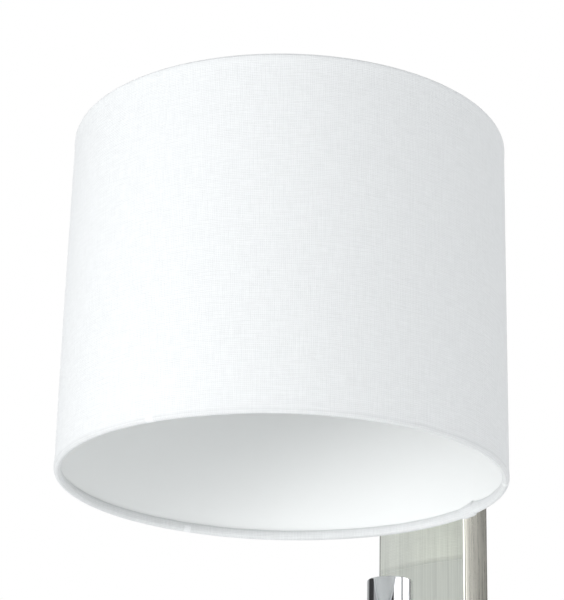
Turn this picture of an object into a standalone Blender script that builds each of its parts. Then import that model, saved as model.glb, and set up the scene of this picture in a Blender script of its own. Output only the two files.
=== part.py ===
"""Bedside wall lamp: drum shade on a gallows arm, slim upright, small pivoting reading light.

Metres, +Z up. The wall is the plane y = 0 and the lamp stands out of it towards -Y.
The origin is the middle of the wall bracket's back face.
"""
import math

import bmesh
import bpy
from mathutils import Matrix, Vector

# ---------------------------------------------------------------- driving dimensions
GAP = 0.0003                      # clearance between neighbouring pieces

SHADE_RADIUS = 0.100
SHADE_HEIGHT = 0.160
SHADE_AXIS_Y = -0.153             # wall to the shade's axis
SHADE_RIM_Z = -0.011              # bottom edge of the shade
FABRIC = 0.0004
LINER = 0.0005
HEM_WIDTH = 0.0032
HEM_HEIGHT = 0.0040
WIRE_RADIUS = 0.0009              # rings of the shade frame
CARRIER_ARM_RADIUS = 0.0011
CARRIER_SLOT = 0.0034             # notch in the top hem for each carrier arm

UPRIGHT_WIDTH = 0.047
UPRIGHT_HEIGHT = 0.360
UPRIGHT_DEPTH = 0.026
PLATE_THICKNESS = 0.002
SHADOW_GAP = 0.0012
GASKET_THICKNESS = 0.0006
GASKET_EDGE = 0.0002              # gasket set back from the housing's edge
GASKET_CLEAR = 0.0005             # extra room round the gasket's holes
PLATE_EDGE = 0.00095              # rounding of the polished plate's edges
HOUSING_INSET = 0.0005
HOUSING_SHEET = 0.0015
BRACKET_SHEET = 0.002
BRACKET_WIDTH = 0.034
LUG_DEPTH = 0.016

ARM_RADIUS = 0.006
ARM_BORE = 0.0048
ARM_BEND = 0.016
ARM_DROP = 0.006                  # straight end below the bend
ARM_OVER_SHADE = 0.011            # arm axis above the shade's top edge

HEAD_RADIUS = 0.01075
HEAD_LENGTH = 0.080
HEAD_OUT = 0.030                  # head axis in front of the plate
HEAD_BELOW_RIM = 0.023            # head's top face below the shade's rim
HEAD_ABOVE_PIVOT = 0.016
HEAD_WALL = 0.00125
STEM_RADIUS = 0.004
TONGUE_WIDTH = 0.006
TONGUE_HALF_HEIGHT = 0.005
TONGUE_LENGTH = 0.0215
PIN_RADIUS = 0.002

BUTTON_RADIUS = 0.006
BUTTON_TRAVEL = 0.0025
BUTTON_HEIGHTS = {"main_switch": -0.132, "reader_switch": -0.156}

SHADE_STEPS = 48
ROUND_STEPS = 20
CORE_STEPS = 12
BEYOND = 0.001                    # how far a cutting tool passes the face it cuts

# ---------------------------------------------------------------- derived places
SHADE_TOP_Z = SHADE_RIM_Z + SHADE_HEIGHT
HALF_HEIGHT = UPRIGHT_HEIGHT / 2
PLATE_FRONT = -UPRIGHT_DEPTH
PLATE_BACK = PLATE_FRONT + PLATE_THICKNESS
HOUSING_FRONT = PLATE_BACK + SHADOW_GAP
HOUSING_INNER = HOUSING_FRONT + HOUSING_SHEET
HOUSING_HALF_WIDTH = UPRIGHT_WIDTH / 2 - HOUSING_INSET
NUT_SEAT = HOUSING_INNER + GAP
ON_PLATE = PLATE_FRONT - GAP
ON_BRACKET = -BRACKET_SHEET - GAP

ARM_Z = SHADE_TOP_Z + ARM_OVER_SHADE
ARM_END_Z = ARM_Z - ARM_BEND - ARM_DROP
ARM_REAR_Y = -0.012

PIVOT_Y = PLATE_FRONT - HEAD_OUT
HEAD_TOP_Z = SHADE_RIM_Z - HEAD_BELOW_RIM
PIVOT_Z = HEAD_TOP_Z - HEAD_ABOVE_PIVOT
STEM_REAR_Y = -0.012

HOLDER_SHOULDER_Z = ARM_END_Z - 0.0168
HOLDER_MOUTH_Z = HOLDER_SHOULDER_Z - 0.0372
CARRIER_Z = HOLDER_SHOULDER_Z - 0.0055
BULB_CENTRE_Z = HOLDER_MOUTH_Z - 0.034
BULB_RADIUS = 0.0225
CARRIER_HUB_HALF = 0.001          # half the thickness of the carrier's middle ring

OUTWARD = (math.radians(90), 0, 0)     # local +Z points away from the wall
UPWARD = (0, 0, 0)
SIDEWAYS = (0, math.radians(90), 0)    # local +Z points along +X

WHITE_LINEN = ((0.88, 0.88, 0.86), 0.9, 0.0)
WHITE_PLASTIC = ((0.85, 0.85, 0.83), 0.45, 0.0)
OPAL = ((0.92, 0.91, 0.88), 0.3, 0.0)
SATIN_NICKEL = ((0.55, 0.54, 0.50), 0.35, 1.0)
POLISHED_STEEL = ((0.72, 0.72, 0.71), 0.06, 1.0)
CHROME = ((0.75, 0.76, 0.77), 0.05, 1.0)
ZINC_STEEL = ((0.50, 0.51, 0.53), 0.4, 1.0)
BRASS = ((0.72, 0.55, 0.25), 0.3, 1.0)
BLACK_RUBBER = ((0.03, 0.03, 0.03), 0.7, 0.0)
BLACK_PLASTIC = ((0.04, 0.04, 0.04), 0.5, 0.0)
BARE_ALUMINIUM = ((0.70, 0.71, 0.72), 0.35, 1.0)
CLEAR_ACRYLIC = ((0.90, 0.93, 0.95), 0.05, 0.0)
PHOSPHOR = ((0.90, 0.78, 0.30), 0.5, 0.0)


# ---------------------------------------------------------------- building helpers
def make_material(name, look):
    """Principled material from (colour, roughness, metallic)."""
    colour, roughness, metallic = look
    material = bpy.data.materials.new(name)
    material.use_nodes = True
    shader = material.node_tree.nodes["Principled BSDF"]
    shader.inputs["Base Color"].default_value = (*colour, 1.0)
    shader.inputs["Roughness"].default_value = roughness
    shader.inputs["Metallic"].default_value = metallic
    return material


def add_object(name, shape, look, at=(0, 0, 0), turn=UPWARD):
    """Turn a bmesh into a named object with outward faces and its own material."""
    bmesh.ops.recalc_face_normals(shape, faces=shape.faces)
    mesh = bpy.data.meshes.new(name)
    shape.to_mesh(mesh)
    shape.free()
    mesh.shade_smooth()
    mesh.set_sharp_from_angle(angle=math.radians(30))
    mesh.materials.append(make_material(name, look))
    piece = bpy.data.objects.new(name, mesh)
    piece.location = at
    piece.rotation_euler = turn
    bpy.context.collection.objects.link(piece)
    return piece


def add_block(shape, low, high):
    """Add a box between two corners to a bmesh."""
    size = Vector(high) - Vector(low)
    centre = (Vector(high) + Vector(low)) / 2
    matrix = Matrix.Translation(centre) @ Matrix.Diagonal((*size, 1.0))
    bmesh.ops.create_cube(shape, size=1.0, matrix=matrix)


def add_rod(shape, start, end, radius, steps=ROUND_STEPS):
    """Add a plain round rod between two points to a bmesh."""
    start, end = Vector(start), Vector(end)
    turn = Vector((0, 0, 1)).rotation_difference(end - start).to_matrix().to_4x4()
    matrix = Matrix.Translation((start + end) / 2) @ turn
    bmesh.ops.create_cone(shape, cap_ends=True, segments=steps, radius1=radius, radius2=radius,
                          depth=(end - start).length, matrix=matrix)


def block(name, look, low, high, bevel=0.0, segments=1):
    """A box, with its edges softened when a bevel is given."""
    shape = bmesh.new()
    add_block(shape, low, high)
    piece = add_object(name, shape, look)
    if bevel:
        soften(piece, bevel, segments)
    return piece


def soften(piece, width, segments=1):
    modifier = piece.modifiers.new("soft_edges", "BEVEL")
    modifier.width = width
    modifier.segments = segments
    modifier.limit_method = "ANGLE"


def turned(name, look, outline, at, turn, steps=ROUND_STEPS):
    """Spin an outline of (radius, height) points round the piece's own axis.

    An outline that starts and ends on the axis is left open; any other one is closed.
    """
    shape = bmesh.new()
    points = [shape.verts.new((radius, 0, height)) for radius, height in outline]
    edges = [shape.edges.new(pair) for pair in zip(points, points[1:])]
    if outline[0][0] > 0 or outline[-1][0] > 0:
        edges.append(shape.edges.new((points[-1], points[0])))
    bmesh.ops.spin(shape, geom=points + edges, cent=(0, 0, 0), axis=(0, 0, 1),
                   angle=math.tau, steps=steps, use_merge=True)
    bmesh.ops.remove_doubles(shape, verts=shape.verts, dist=1e-7)
    return add_object(name, shape, look, at, turn)


def ring(name, look, inner, outer, low, high, at, turn, steps=ROUND_STEPS, chamfer=0.0):
    """A flat ring or short tube, with its far outer edge chamfered."""
    outline = [(inner, low), (outer, low), (outer, high - chamfer)]
    if chamfer:
        outline.append((outer - chamfer, high))
    else:
        outline[-1] = (outer, high)
    outline.append((inner, high))
    return turned(name, look, outline, at, turn, steps)


def add_prism(shape, corners, low, high):
    """Add a right prism: corners are (u, v) pairs, extruded along local Z."""
    base = shape.faces.new([shape.verts.new((u, v, low)) for u, v in corners])
    grown = bmesh.ops.extrude_face_region(shape, geom=[base])
    lifted = [item for item in grown["geom"] if isinstance(item, bmesh.types.BMVert)]
    bmesh.ops.translate(shape, verts=lifted, vec=(0, 0, high - low))


def hexagon(across_flats):
    radius = across_flats / math.sqrt(3)
    return [(radius * math.cos(k * math.pi / 3), radius * math.sin(k * math.pi / 3)) for k in range(6)]


def cutter(name, shape):
    """Hidden tool body for a Boolean."""
    bmesh.ops.recalc_face_normals(shape, faces=shape.faces)
    mesh = bpy.data.meshes.new(name)
    shape.to_mesh(mesh)
    shape.free()
    tool = bpy.data.objects.new(name, mesh)
    tool.hide_render = True
    tool.display_type = "WIRE"
    bpy.context.collection.objects.link(tool)
    return tool


def combine(piece, tool, operation):
    modifier = piece.modifiers.new(tool.name, "BOOLEAN")
    modifier.operation = operation
    modifier.solver = "EXACT"
    modifier.object = tool


def drill(piece, holes, tool_name, steps=CORE_STEPS):
    """Cut round holes, each given as (start, end, radius)."""
    shape = bmesh.new()
    for start, end, radius in holes:
        add_rod(shape, start, end, radius, steps)
    combine(piece, cutter(tool_name, shape), "DIFFERENCE")


def hex_nut(name, look, across_flats, height, bore, at, steps=ROUND_STEPS):
    """Hexagon nut whose near face is at the given place and which grows towards the wall."""
    shape = bmesh.new()
    add_prism(shape, hexagon(across_flats), -height, 0)
    piece = add_object(name, shape, look, at, OUTWARD)
    x, y, z = at
    drill(piece, [((x, y - height, z), (x, y + 2 * height, z), bore)], name + "_bore", steps)
    return piece


def arc(centre, radius, start, end, steps):
    """Points of an arc in the YZ plane, angles in degrees from +Y towards +Z."""
    points = []
    for k in range(steps + 1):
        angle = math.radians(start + (end - start) * k / steps)
        points.append(Vector((centre[0], centre[1] + radius * math.cos(angle),
                              centre[2] + radius * math.sin(angle))))
    return points


def path_frames(path):
    """Point, side and up vectors along a path, for sweeping a round section."""
    side = Vector((1, 0, 0))
    frames = []
    for k, point in enumerate(path):
        ahead = (path[min(k + 1, len(path) - 1)] - path[max(k - 1, 0)]).normalized()
        side = (side - ahead * side.dot(ahead)).normalized()
        frames.append((point, side, ahead.cross(side)))
    return frames


def swept_pipe(name, look, path, outer, inner, steps):
    """Hollow round pipe along a path, open at both ends."""
    shape = bmesh.new()
    skins = []
    for radius in (outer, inner):
        loops = []
        for point, side, up in path_frames(path):
            angles = [math.tau * k / steps for k in range(steps)]
            loops.append([shape.verts.new(point + radius * (math.cos(a) * side + math.sin(a) * up))
                          for a in angles])
        skins.append(loops)
    for loops in skins:
        for near, far in zip(loops, loops[1:]):
            join_loops(shape, near, far)
    for end in (0, -1):
        join_loops(shape, skins[0][end], skins[1][end])
    return add_object(name, shape, look)


def join_loops(shape, first, second):
    for k in range(len(first)):
        j = (k + 1) % len(first)
        shape.faces.new((first[k], first[j], second[j], second[k]))


def smooth_route(points, per_span):
    """Catmull-Rom curve through the given points."""
    points = [Vector(p) for p in points]
    padded = [2 * points[0] - points[1], *points, 2 * points[-1] - points[-2]]
    route = []
    for a, b, c, d in zip(padded, padded[1:], padded[2:], padded[3:]):
        for k in range(per_span):
            t = k / per_span
            route.append(0.5 * (2 * b + (c - a) * t + (2 * a - 5 * b + 4 * c - d) * t * t
                                + (3 * b - a - 3 * c + d) * t ** 3))
    return route + [points[-1]]


def lead(name, look, route, radius):
    """Round cable as a bevelled curve with closed ends."""
    curve = bpy.data.curves.new(name, "CURVE")
    curve.dimensions = "3D"
    curve.bevel_depth = radius
    curve.bevel_resolution = 1
    curve.use_fill_caps = True
    spline = curve.splines.new("POLY")
    spline.points.add(len(route) - 1)
    for point, place in zip(spline.points, route):
        point.co = (*place, 1.0)
    curve.materials.append(make_material(name, look))
    piece = bpy.data.objects.new(name, curve)
    bpy.context.collection.objects.link(piece)
    return piece


def carry(pieces, name, place):
    """Parent pieces to an empty that stands on their joint's axis."""
    axis = bpy.data.objects.new(name, None)
    axis.location = place
    bpy.context.collection.objects.link(axis)
    for piece in pieces:
        piece.parent = axis
        piece.location = Vector(piece.location) - Vector(place)


# ---------------------------------------------------------------- wall bracket and wiring
EARTH_Z = 0.066
GROMMET_Z = 0.040
GROMMET_HOLE = 0.012
SLOT_Z = 0.130
SLOT_HALF_WIDTH = 0.0025
SLOT_HALF_LENGTH = 0.0045
LUG_SCREW_Y = -0.009
M3_RADIUS = 0.0015
M3_CLEAR = M3_RADIUS + GAP
M3_NUT = 0.0055
M3_NUT_HEIGHT = 0.0024
EARTH_RADIUS = 0.002


def make_wall_bracket():
    """Steel strap with its two ends folded forward as lugs."""
    edge = HALF_HEIGHT - HOUSING_SHEET - GAP
    half = BRACKET_WIDTH / 2
    outline = [(0, -edge), (0, edge), (-LUG_DEPTH, edge), (-LUG_DEPTH, edge - BRACKET_SHEET),
               (-BRACKET_SHEET, edge - BRACKET_SHEET), (-BRACKET_SHEET, BRACKET_SHEET - edge),
               (-LUG_DEPTH, BRACKET_SHEET - edge), (-LUG_DEPTH, -edge)]
    shape = bmesh.new()
    side = shape.faces.new([shape.verts.new((-half, y, z)) for y, z in outline])
    grown = bmesh.ops.extrude_face_region(shape, geom=[side])
    moved = [item for item in grown["geom"] if isinstance(item, bmesh.types.BMVert)]
    bmesh.ops.translate(shape, verts=moved, vec=(BRACKET_WIDTH, 0, 0))
    bracket = add_object("wall_bracket", shape, ZINC_STEEL)
    through = 0.003
    holes = [((0, -through, GROMMET_Z), (0, through, GROMMET_Z), GROMMET_HOLE),
             ((0, -through, EARTH_Z), (0, through, EARTH_Z), EARTH_RADIUS + GAP)]
    for sign in (-1, 1):
        holes.append(((0, LUG_SCREW_Y, sign * (edge - through)), (0, LUG_SCREW_Y, sign * (edge + through)),
                      M3_CLEAR))
    drill(bracket, holes, "bracket_holes", ROUND_STEPS)
    slots = bmesh.new()
    for sign in (-1, 1):
        corners = []
        for end in (-1, 1):
            for k in range(7):
                angle = math.radians(end * 90 - 90 + 30 * k)
                corners.append((SLOT_HALF_WIDTH * math.cos(angle),
                                end * SLOT_HALF_LENGTH + SLOT_HALF_WIDTH * math.sin(angle)))
        add_prism(slots, corners, -through, through)
        fresh = slots.verts[-len(corners) * 2:]
        bmesh.ops.rotate(slots, verts=fresh, cent=(0, 0, 0), matrix=Matrix.Rotation(math.pi / 2, 3, "X"))
        bmesh.ops.translate(slots, verts=fresh, vec=(0, 0, sign * SLOT_Z))
    combine(bracket, cutter("bracket_slots", slots), "DIFFERENCE")


def make_cable_grommet():
    inner, lip, edge = 0.005, 0.002, 0.0008
    body = GROMMET_HOLE - GAP
    flange = GROMMET_HOLE + lip
    front = BRACKET_SHEET + GAP
    outline = [(inner, 0), (body, 0), (body, front), (flange, front), (flange, front + lip - edge),
               (flange - edge, front + lip), (inner, front + lip)]
    turned("cable_grommet", BLACK_RUBBER, outline, (0, 0, GROMMET_Z), OUTWARD)


TERMINAL_Z = 0.092
TERMINAL_HALF = (0.014, 0.008)
TERMINAL_DEPTH = 0.0125
TERMINAL_WAYS = {"neutral": -0.009, "earth": 0.0, "live": 0.009}
WIRE_HOLE = 0.0017
WIRE_Y = -0.007


def make_terminal_block():
    """Three-way block with a wire hole and a clamping screw in each way."""
    half_width, half_height = TERMINAL_HALF
    corner = 0.0008
    front = ON_BRACKET - TERMINAL_DEPTH
    body = block("terminal_block", WHITE_PLASTIC, (-half_width, front, TERMINAL_Z - half_height),
                 (half_width, ON_BRACKET, TERMINAL_Z + half_height), corner)
    screw_radius, screw_depth = 0.0019, 0.0035
    holes = []
    for name, x in TERMINAL_WAYS.items():
        low, high = TERMINAL_Z - 2 * half_height, TERMINAL_Z + 2 * half_height
        holes.append(((x, WIRE_Y, low), (x, WIRE_Y, high), WIRE_HOLE))
        holes.append(((x, front - BEYOND, TERMINAL_Z), (x, front + screw_depth + GAP, TERMINAL_Z),
                      screw_radius + GAP))
        screw = bmesh.new()
        add_rod(screw, (x, front + GAP, TERMINAL_Z), (x, front + screw_depth, TERMINAL_Z), screw_radius,
                CORE_STEPS)
        add_object("terminal_screw_" + name, screw, BRASS)
    drill(body, holes, "terminal_holes")


def make_earth_screw():
    head, edge_drop, edge_inset = 0.004, 0.0008, 0.0012
    tip, seat = 0.0002, -ON_BRACKET
    crown = seat + 0.0024
    outline = [(0, tip), (EARTH_RADIUS, tip), (EARTH_RADIUS, seat), (head, seat),
               (head, crown - edge_drop), (head - edge_inset, crown), (0, crown)]
    turned("earth_screw", BRASS, outline, (0, 0, EARTH_Z), OUTWARD, CORE_STEPS)


DRIVER_HALF_WIDTH = 0.011
DRIVER_TOP_Z = 0.022
DRIVER_BOTTOM_Z = -0.034
DRIVER_FRONT_Y = -0.018
DRIVER_CORNER = 0.0012
LEAD_RADIUS = 0.0016
THIN_LEAD_RADIUS = 0.0009


def make_led_driver():
    block("led_driver", WHITE_PLASTIC, (-DRIVER_HALF_WIDTH, DRIVER_FRONT_Y, DRIVER_BOTTOM_Z),
          (DRIVER_HALF_WIDTH, ON_BRACKET, DRIVER_TOP_Z), DRIVER_CORNER)


def make_leads():
    """Leads that stay inside the lamp: holder, driver, reading light and switches."""
    bend, above_shoulder = 0.011, 0.004
    top = Vector((0, SHADE_AXIS_Y, HOLDER_SHOULDER_Z + above_shoulder))
    over = arc((0, SHADE_AXIS_Y + ARM_BEND, ARM_Z - ARM_BEND), ARM_BEND, 180, 90, 8)
    down = arc((0, WIRE_Y - bend, ARM_Z - bend), bend, 90, 0, 6)
    run = [over[-1].lerp(down[0], k / 6) for k in range(1, 6)]
    terminal_top = Vector((0, WIRE_Y, TERMINAL_Z + TERMINAL_HALF[1] + GAP))
    lead("holder_lead", WHITE_PLASTIC, [top, *over, *run, *down, terminal_top], LEAD_RADIUS)

    terminal_bottom = TERMINAL_Z - TERMINAL_HALF[1] - GAP
    feed_x = TERMINAL_WAYS["live"]
    feed = [(feed_x, WIRE_Y, terminal_bottom), (feed_x, WIRE_Y, DRIVER_TOP_Z + GAP)]
    lead("driver_lead", WHITE_PLASTIC, smooth_route(feed, 4), LEAD_RADIUS)

    reach = 0.006
    tail = arc((0, STEM_REAR_Y + GAP, PIVOT_Z + reach), reach, 0, -90, 5)
    start = Vector((0, tail[0].y, DRIVER_BOTTOM_Z - GAP))
    lead("reader_lead", BLACK_PLASTIC, [start, *tail], THIN_LEAD_RADIUS)

    beside, driver_exit, switch_entry = 0.0165, 0.0105, WIRE_Y - 0.003
    straight_out, sway, approach, rise = 0.008, 0.014, 0.005, 0.0025
    for sign, switch in ((-1, "main_switch"), (1, "reader_switch")):
        switch_z = BUTTON_HEIGHTS[switch]
        start = (sign * driver_exit, WIRE_Y, DRIVER_BOTTOM_Z - GAP)
        if sign < 0:
            start = (TERMINAL_WAYS["neutral"], WIRE_Y, terminal_bottom)
        end = (sign * (SWITCH_HALF + GAP), switch_entry, switch_z)
        ahead = Vector((start[0], WIRE_Y, start[2] - straight_out))
        turn_in = Vector((sign * beside, WIRE_Y, ahead.z - sway))
        turn_out = Vector((sign * beside, WIRE_Y, switch_z + sway))
        straight = [turn_in.lerp(turn_out, t) for t in (0.25, 0.5, 0.75)]
        near = Vector((sign * (SWITCH_HALF + approach), switch_entry, switch_z + rise))
        route = smooth_route([start, ahead, turn_in, *straight, turn_out, near, end], 3)
        lead(switch + "_lead", BLACK_PLASTIC, route, THIN_LEAD_RADIUS)


# ---------------------------------------------------------------- upright
STUD_PLACES = [(x, z) for z in (0.125, -0.100) for x in (-0.016, 0.016)]
STUD_END_Y = -0.0155
SWITCH_HALF = 0.007
SWITCH_REAR_Y = -0.006
SWITCH_CORNER = 0.0006
BUSH_SPIGOT = 0.006
BUSH_FLANGE = 0.0062


def front_holes(start, end, extra=0.0):
    """Holes that the arm, the reading light and the two buttons need through the front."""
    holes = [((0, start, ARM_Z), (0, end, ARM_Z), ARM_RADIUS + GAP + extra),
             ((0, start, PIVOT_Z), (0, end, PIVOT_Z), BUSH_SPIGOT + GAP + extra)]
    for z in BUTTON_HEIGHTS.values():
        holes.append(((0, start, z), (0, end, z), BUTTON_RADIUS + GAP + extra))
    return holes


def stud_holes(start, end):
    return [((x, start, z), (x, end, z), M3_CLEAR) for x, z in STUD_PLACES]


def make_housing():
    """Folded tray, open towards the wall."""
    housing = block("housing", SATIN_NICKEL, (-HOUSING_HALF_WIDTH, HOUSING_FRONT, -HALF_HEIGHT),
                    (HOUSING_HALF_WIDTH, 0, HALF_HEIGHT))
    hollow = bmesh.new()
    inside = HOUSING_HALF_WIDTH - HOUSING_SHEET
    end = HALF_HEIGHT - HOUSING_SHEET
    add_block(hollow, (-inside, HOUSING_INNER, -end), (inside, BEYOND, end))
    combine(housing, cutter("housing_hollow", hollow), "DIFFERENCE")
    start, stop = HOUSING_FRONT - BEYOND, HOUSING_INNER + BEYOND
    holes = front_holes(start, stop) + stud_holes(start, stop)
    drill(housing, holes, "housing_front_holes", ROUND_STEPS)
    ends = []
    for sign in (-1, 1):
        ends.append(((0, LUG_SCREW_Y, sign * (end - BEYOND)),
                     (0, LUG_SCREW_Y, sign * (HALF_HEIGHT + BEYOND)), M3_CLEAR))
    drill(housing, ends, "housing_end_holes")


def make_housing_screws():
    """Two grub screws that hold the housing on the bracket's lugs."""
    length, socket_depth, socket_radius = 0.007, 0.0015, 0.0008
    for name, sign in (("top", 1), ("bottom", -1)):
        outer = sign * (HALF_HEIGHT - GAP)
        shape = bmesh.new()
        add_rod(shape, (0, LUG_SCREW_Y, outer), (0, LUG_SCREW_Y, outer - sign * length), M3_RADIUS,
                CORE_STEPS)
        screw = add_object("housing_screw_" + name, shape, ZINC_STEEL)
        socket = ((0, LUG_SCREW_Y, outer + sign * BEYOND), (0, LUG_SCREW_Y, outer - sign * socket_depth),
                  socket_radius)
        drill(screw, [socket], "screw_socket_" + name, 6)


def make_plate_gasket():
    """Black foam sheet that fills the shadow gap, set back a little from the plate's edge."""
    half_width = HOUSING_HALF_WIDTH - GASKET_EDGE
    front = HOUSING_FRONT - GAP - GASKET_THICKNESS
    gasket = block("plate_gasket", BLACK_RUBBER, (-half_width, front, GASKET_EDGE - HALF_HEIGHT),
                   (half_width, HOUSING_FRONT - GAP, HALF_HEIGHT - GASKET_EDGE))
    start, stop = front - BEYOND, HOUSING_FRONT + BEYOND
    drill(gasket, front_holes(start, stop, GASKET_CLEAR) + stud_holes(start, stop), "gasket_holes")


def make_front_plate():
    """Polished plate with four studs welded to its back."""
    half_width = UPRIGHT_WIDTH / 2
    plate = block("front_plate", POLISHED_STEEL, (-half_width, PLATE_FRONT, -HALF_HEIGHT),
                  (half_width, PLATE_BACK, HALF_HEIGHT), PLATE_EDGE, 4)
    studs = bmesh.new()
    for x, z in STUD_PLACES:
        add_rod(studs, (x, PLATE_BACK - PLATE_THICKNESS / 2, z), (x, STUD_END_Y, z), M3_RADIUS, CORE_STEPS)
    combine(plate, cutter("plate_studs", studs), "UNION")
    drill(plate, front_holes(PLATE_FRONT - BEYOND, PLATE_BACK + BEYOND), "plate_holes", ROUND_STEPS)


def make_plate_nuts():
    for k, (x, z) in enumerate(STUD_PLACES):
        hex_nut(f"plate_nut_{k + 1}", ZINC_STEEL, M3_NUT, M3_NUT_HEIGHT, M3_CLEAR, (x, NUT_SEAT, z),
                CORE_STEPS)


# ---------------------------------------------------------------- arm and lampholder
def arm_path():
    bend = arc((0, SHADE_AXIS_Y + ARM_BEND, ARM_Z - ARM_BEND), ARM_BEND, 90, 180, 8)
    return [Vector((0, ARM_REAR_Y, ARM_Z)), *bend, Vector((0, SHADE_AXIS_Y, ARM_END_Z))]


def make_arm():
    swept_pipe("arm_tube", CHROME, arm_path(), ARM_RADIUS, ARM_BORE, ROUND_STEPS)
    bore = ARM_RADIUS + GAP
    place = (0, 0, ARM_Z)
    flange, thickness = 0.011, 0.0048
    front = thickness - ON_PLATE
    outline = [(bore, -ON_PLATE), (flange, -ON_PLATE), (flange, front - 0.0025),
               (flange - 0.001, front - 0.0008), (flange - 0.003, front), (bore, front)]
    turned("arm_flange", CHROME, outline, place, OUTWARD)
    washer, washer_radius = 0.001, 0.010
    nut_flats, nut_height = 0.017, 0.005
    ring("arm_washer", ZINC_STEEL, bore, washer_radius, -NUT_SEAT - washer, -NUT_SEAT, place, OUTWARD)
    hex_nut("arm_nut", BRASS, nut_flats, nut_height, bore, (0, NUT_SEAT + washer + GAP, ARM_Z))


def make_lampholder():
    """Cap on the arm's end, moulded body, screw shell, contact and shade clamp ring."""
    place = (0, SHADE_AXIS_Y, 0)
    shoulder = HOLDER_SHOULDER_Z
    body_radius = 0.0132
    flange, collar, collar_rise = 0.0145, 0.0027, 0.005
    sheet = 0.0012
    bore = ARM_RADIUS + GAP
    cap_foot = shoulder + GAP
    cap_top = ARM_END_Z + collar_rise
    outline = [(bore, cap_top), (bore + collar, cap_top), (bore + collar, cap_top - 0.003),
               (flange - 0.001, cap_top - 0.0062), (flange, cap_top - 0.009), (flange, cap_foot),
               (flange - sheet, cap_foot), (flange - sheet, cap_top - 0.0094),
               (flange - 0.002, cap_top - 0.0072), (bore, cap_top - 0.0036)]
    turned("holder_cap", WHITE_PLASTIC, outline, place, UPWARD)

    floor = shoulder - 0.010
    rim = shoulder - 0.004
    bore_radius = 0.0105
    outline = [(0, shoulder), (flange, shoulder), (flange, rim), (body_radius, rim),
               (body_radius, HOLDER_MOUTH_Z), (bore_radius, HOLDER_MOUTH_Z), (bore_radius, floor),
               (0, floor)]
    turned("holder_body", WHITE_PLASTIC, outline, place, UPWARD)

    shell, brass_sheet, eye = 0.0077, 0.0004, 0.0035
    shell_top, shell_foot = floor - GAP, HOLDER_MOUTH_Z + 0.0045
    outline = [(shell - brass_sheet, shell_foot), (shell, shell_foot), (shell, shell_top), (eye, shell_top),
               (eye, shell_top - brass_sheet), (shell - brass_sheet, shell_top - brass_sheet)]
    turned("holder_shell", BRASS, outline, place, UPWARD)
    contact_radius = 0.003
    contact = [(0, shell_top), (contact_radius, shell_top), (contact_radius, shell_top - 0.001),
               (0, shell_top - 0.0018)]
    turned("holder_contact", BRASS, contact, place, UPWARD, CORE_STEPS)

    clamp_radius, clamp_height, clamp_edge = 0.0195, 0.0045, 0.001
    clamp_top = CARRIER_Z - CARRIER_HUB_HALF - GAP
    ring("shade_clamp_ring", WHITE_PLASTIC, body_radius + GAP, clamp_radius, -clamp_top,
         clamp_height - clamp_top, place, (math.pi, 0, 0), ROUND_STEPS, clamp_edge)


def make_bulb():
    """Small opal golf-ball bulb, cap upwards."""
    place = (0, SHADE_AXIS_Y, 0)
    cap_radius = 0.0069
    cap_top = HOLDER_SHOULDER_Z - 0.0132
    cap_foot = HOLDER_MOUTH_Z + 0.004
    outline = [(0, cap_top), (0.0024, cap_top), (0.0030, cap_top - 0.0012), (cap_radius, cap_top - 0.003),
               (cap_radius, cap_foot), (0, cap_foot)]
    turned("bulb_cap", CHROME, outline, place, UPWARD)

    neck_top = cap_foot - GAP
    seat = BULB_CENTRE_Z + 0.006
    seat_radius = math.sqrt(BULB_RADIUS ** 2 - (seat - BULB_CENTRE_Z) ** 2)
    outline = [(0, neck_top), (0.0085, neck_top), (0.0090, neck_top - 0.006), (0.0135, seat + 0.014),
               (0.0185, seat + 0.006), (seat_radius, seat + GAP), (0, seat + GAP)]
    turned("bulb_body", WHITE_PLASTIC, outline, place, UPWARD)

    start = math.asin((seat - BULB_CENTRE_Z) / BULB_RADIUS)
    dome = []
    for k in range(9):
        angle = start + (-math.pi / 2 - start) * k / 8
        dome.append((BULB_RADIUS * math.cos(angle), BULB_CENTRE_Z + BULB_RADIUS * math.sin(angle)))
    dome[-1] = (0, BULB_CENTRE_Z - BULB_RADIUS)
    turned("bulb_dome", OPAL, [(0, seat), *dome], place, UPWARD)


# ---------------------------------------------------------------- shade
CARRIER_ARMS = 3
CARRIER_RING = (0.0136, 0.0170)


def carrier_directions():
    """Horizontal directions of the carrier's arms; the first one points away from the wall."""
    return [Vector((math.sin(k * math.tau / CARRIER_ARMS), -math.cos(k * math.tau / CARRIER_ARMS), 0))
            for k in range(CARRIER_ARMS)]


def wire_ring_shape(height, steps=SHADE_STEPS, sides=6):
    """Round wire bent into a ring that lies inside a hem."""
    radius = SHADE_RADIUS - FABRIC - GAP - WIRE_RADIUS
    shape = bmesh.new()
    points = []
    for k in range(sides):
        angle = math.tau * k / sides
        points.append(shape.verts.new((radius + WIRE_RADIUS * math.cos(angle), 0,
                                       height + WIRE_RADIUS * math.sin(angle))))
    edges = [shape.edges.new((points[k], points[(k + 1) % sides])) for k in range(sides)]
    bmesh.ops.spin(shape, geom=points + edges, cent=(0, 0, 0), axis=(0, 0, 1), angle=math.tau,
                   steps=steps, use_merge=True)
    bmesh.ops.remove_doubles(shape, verts=shape.verts, dist=1e-7)
    return shape, radius


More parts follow.
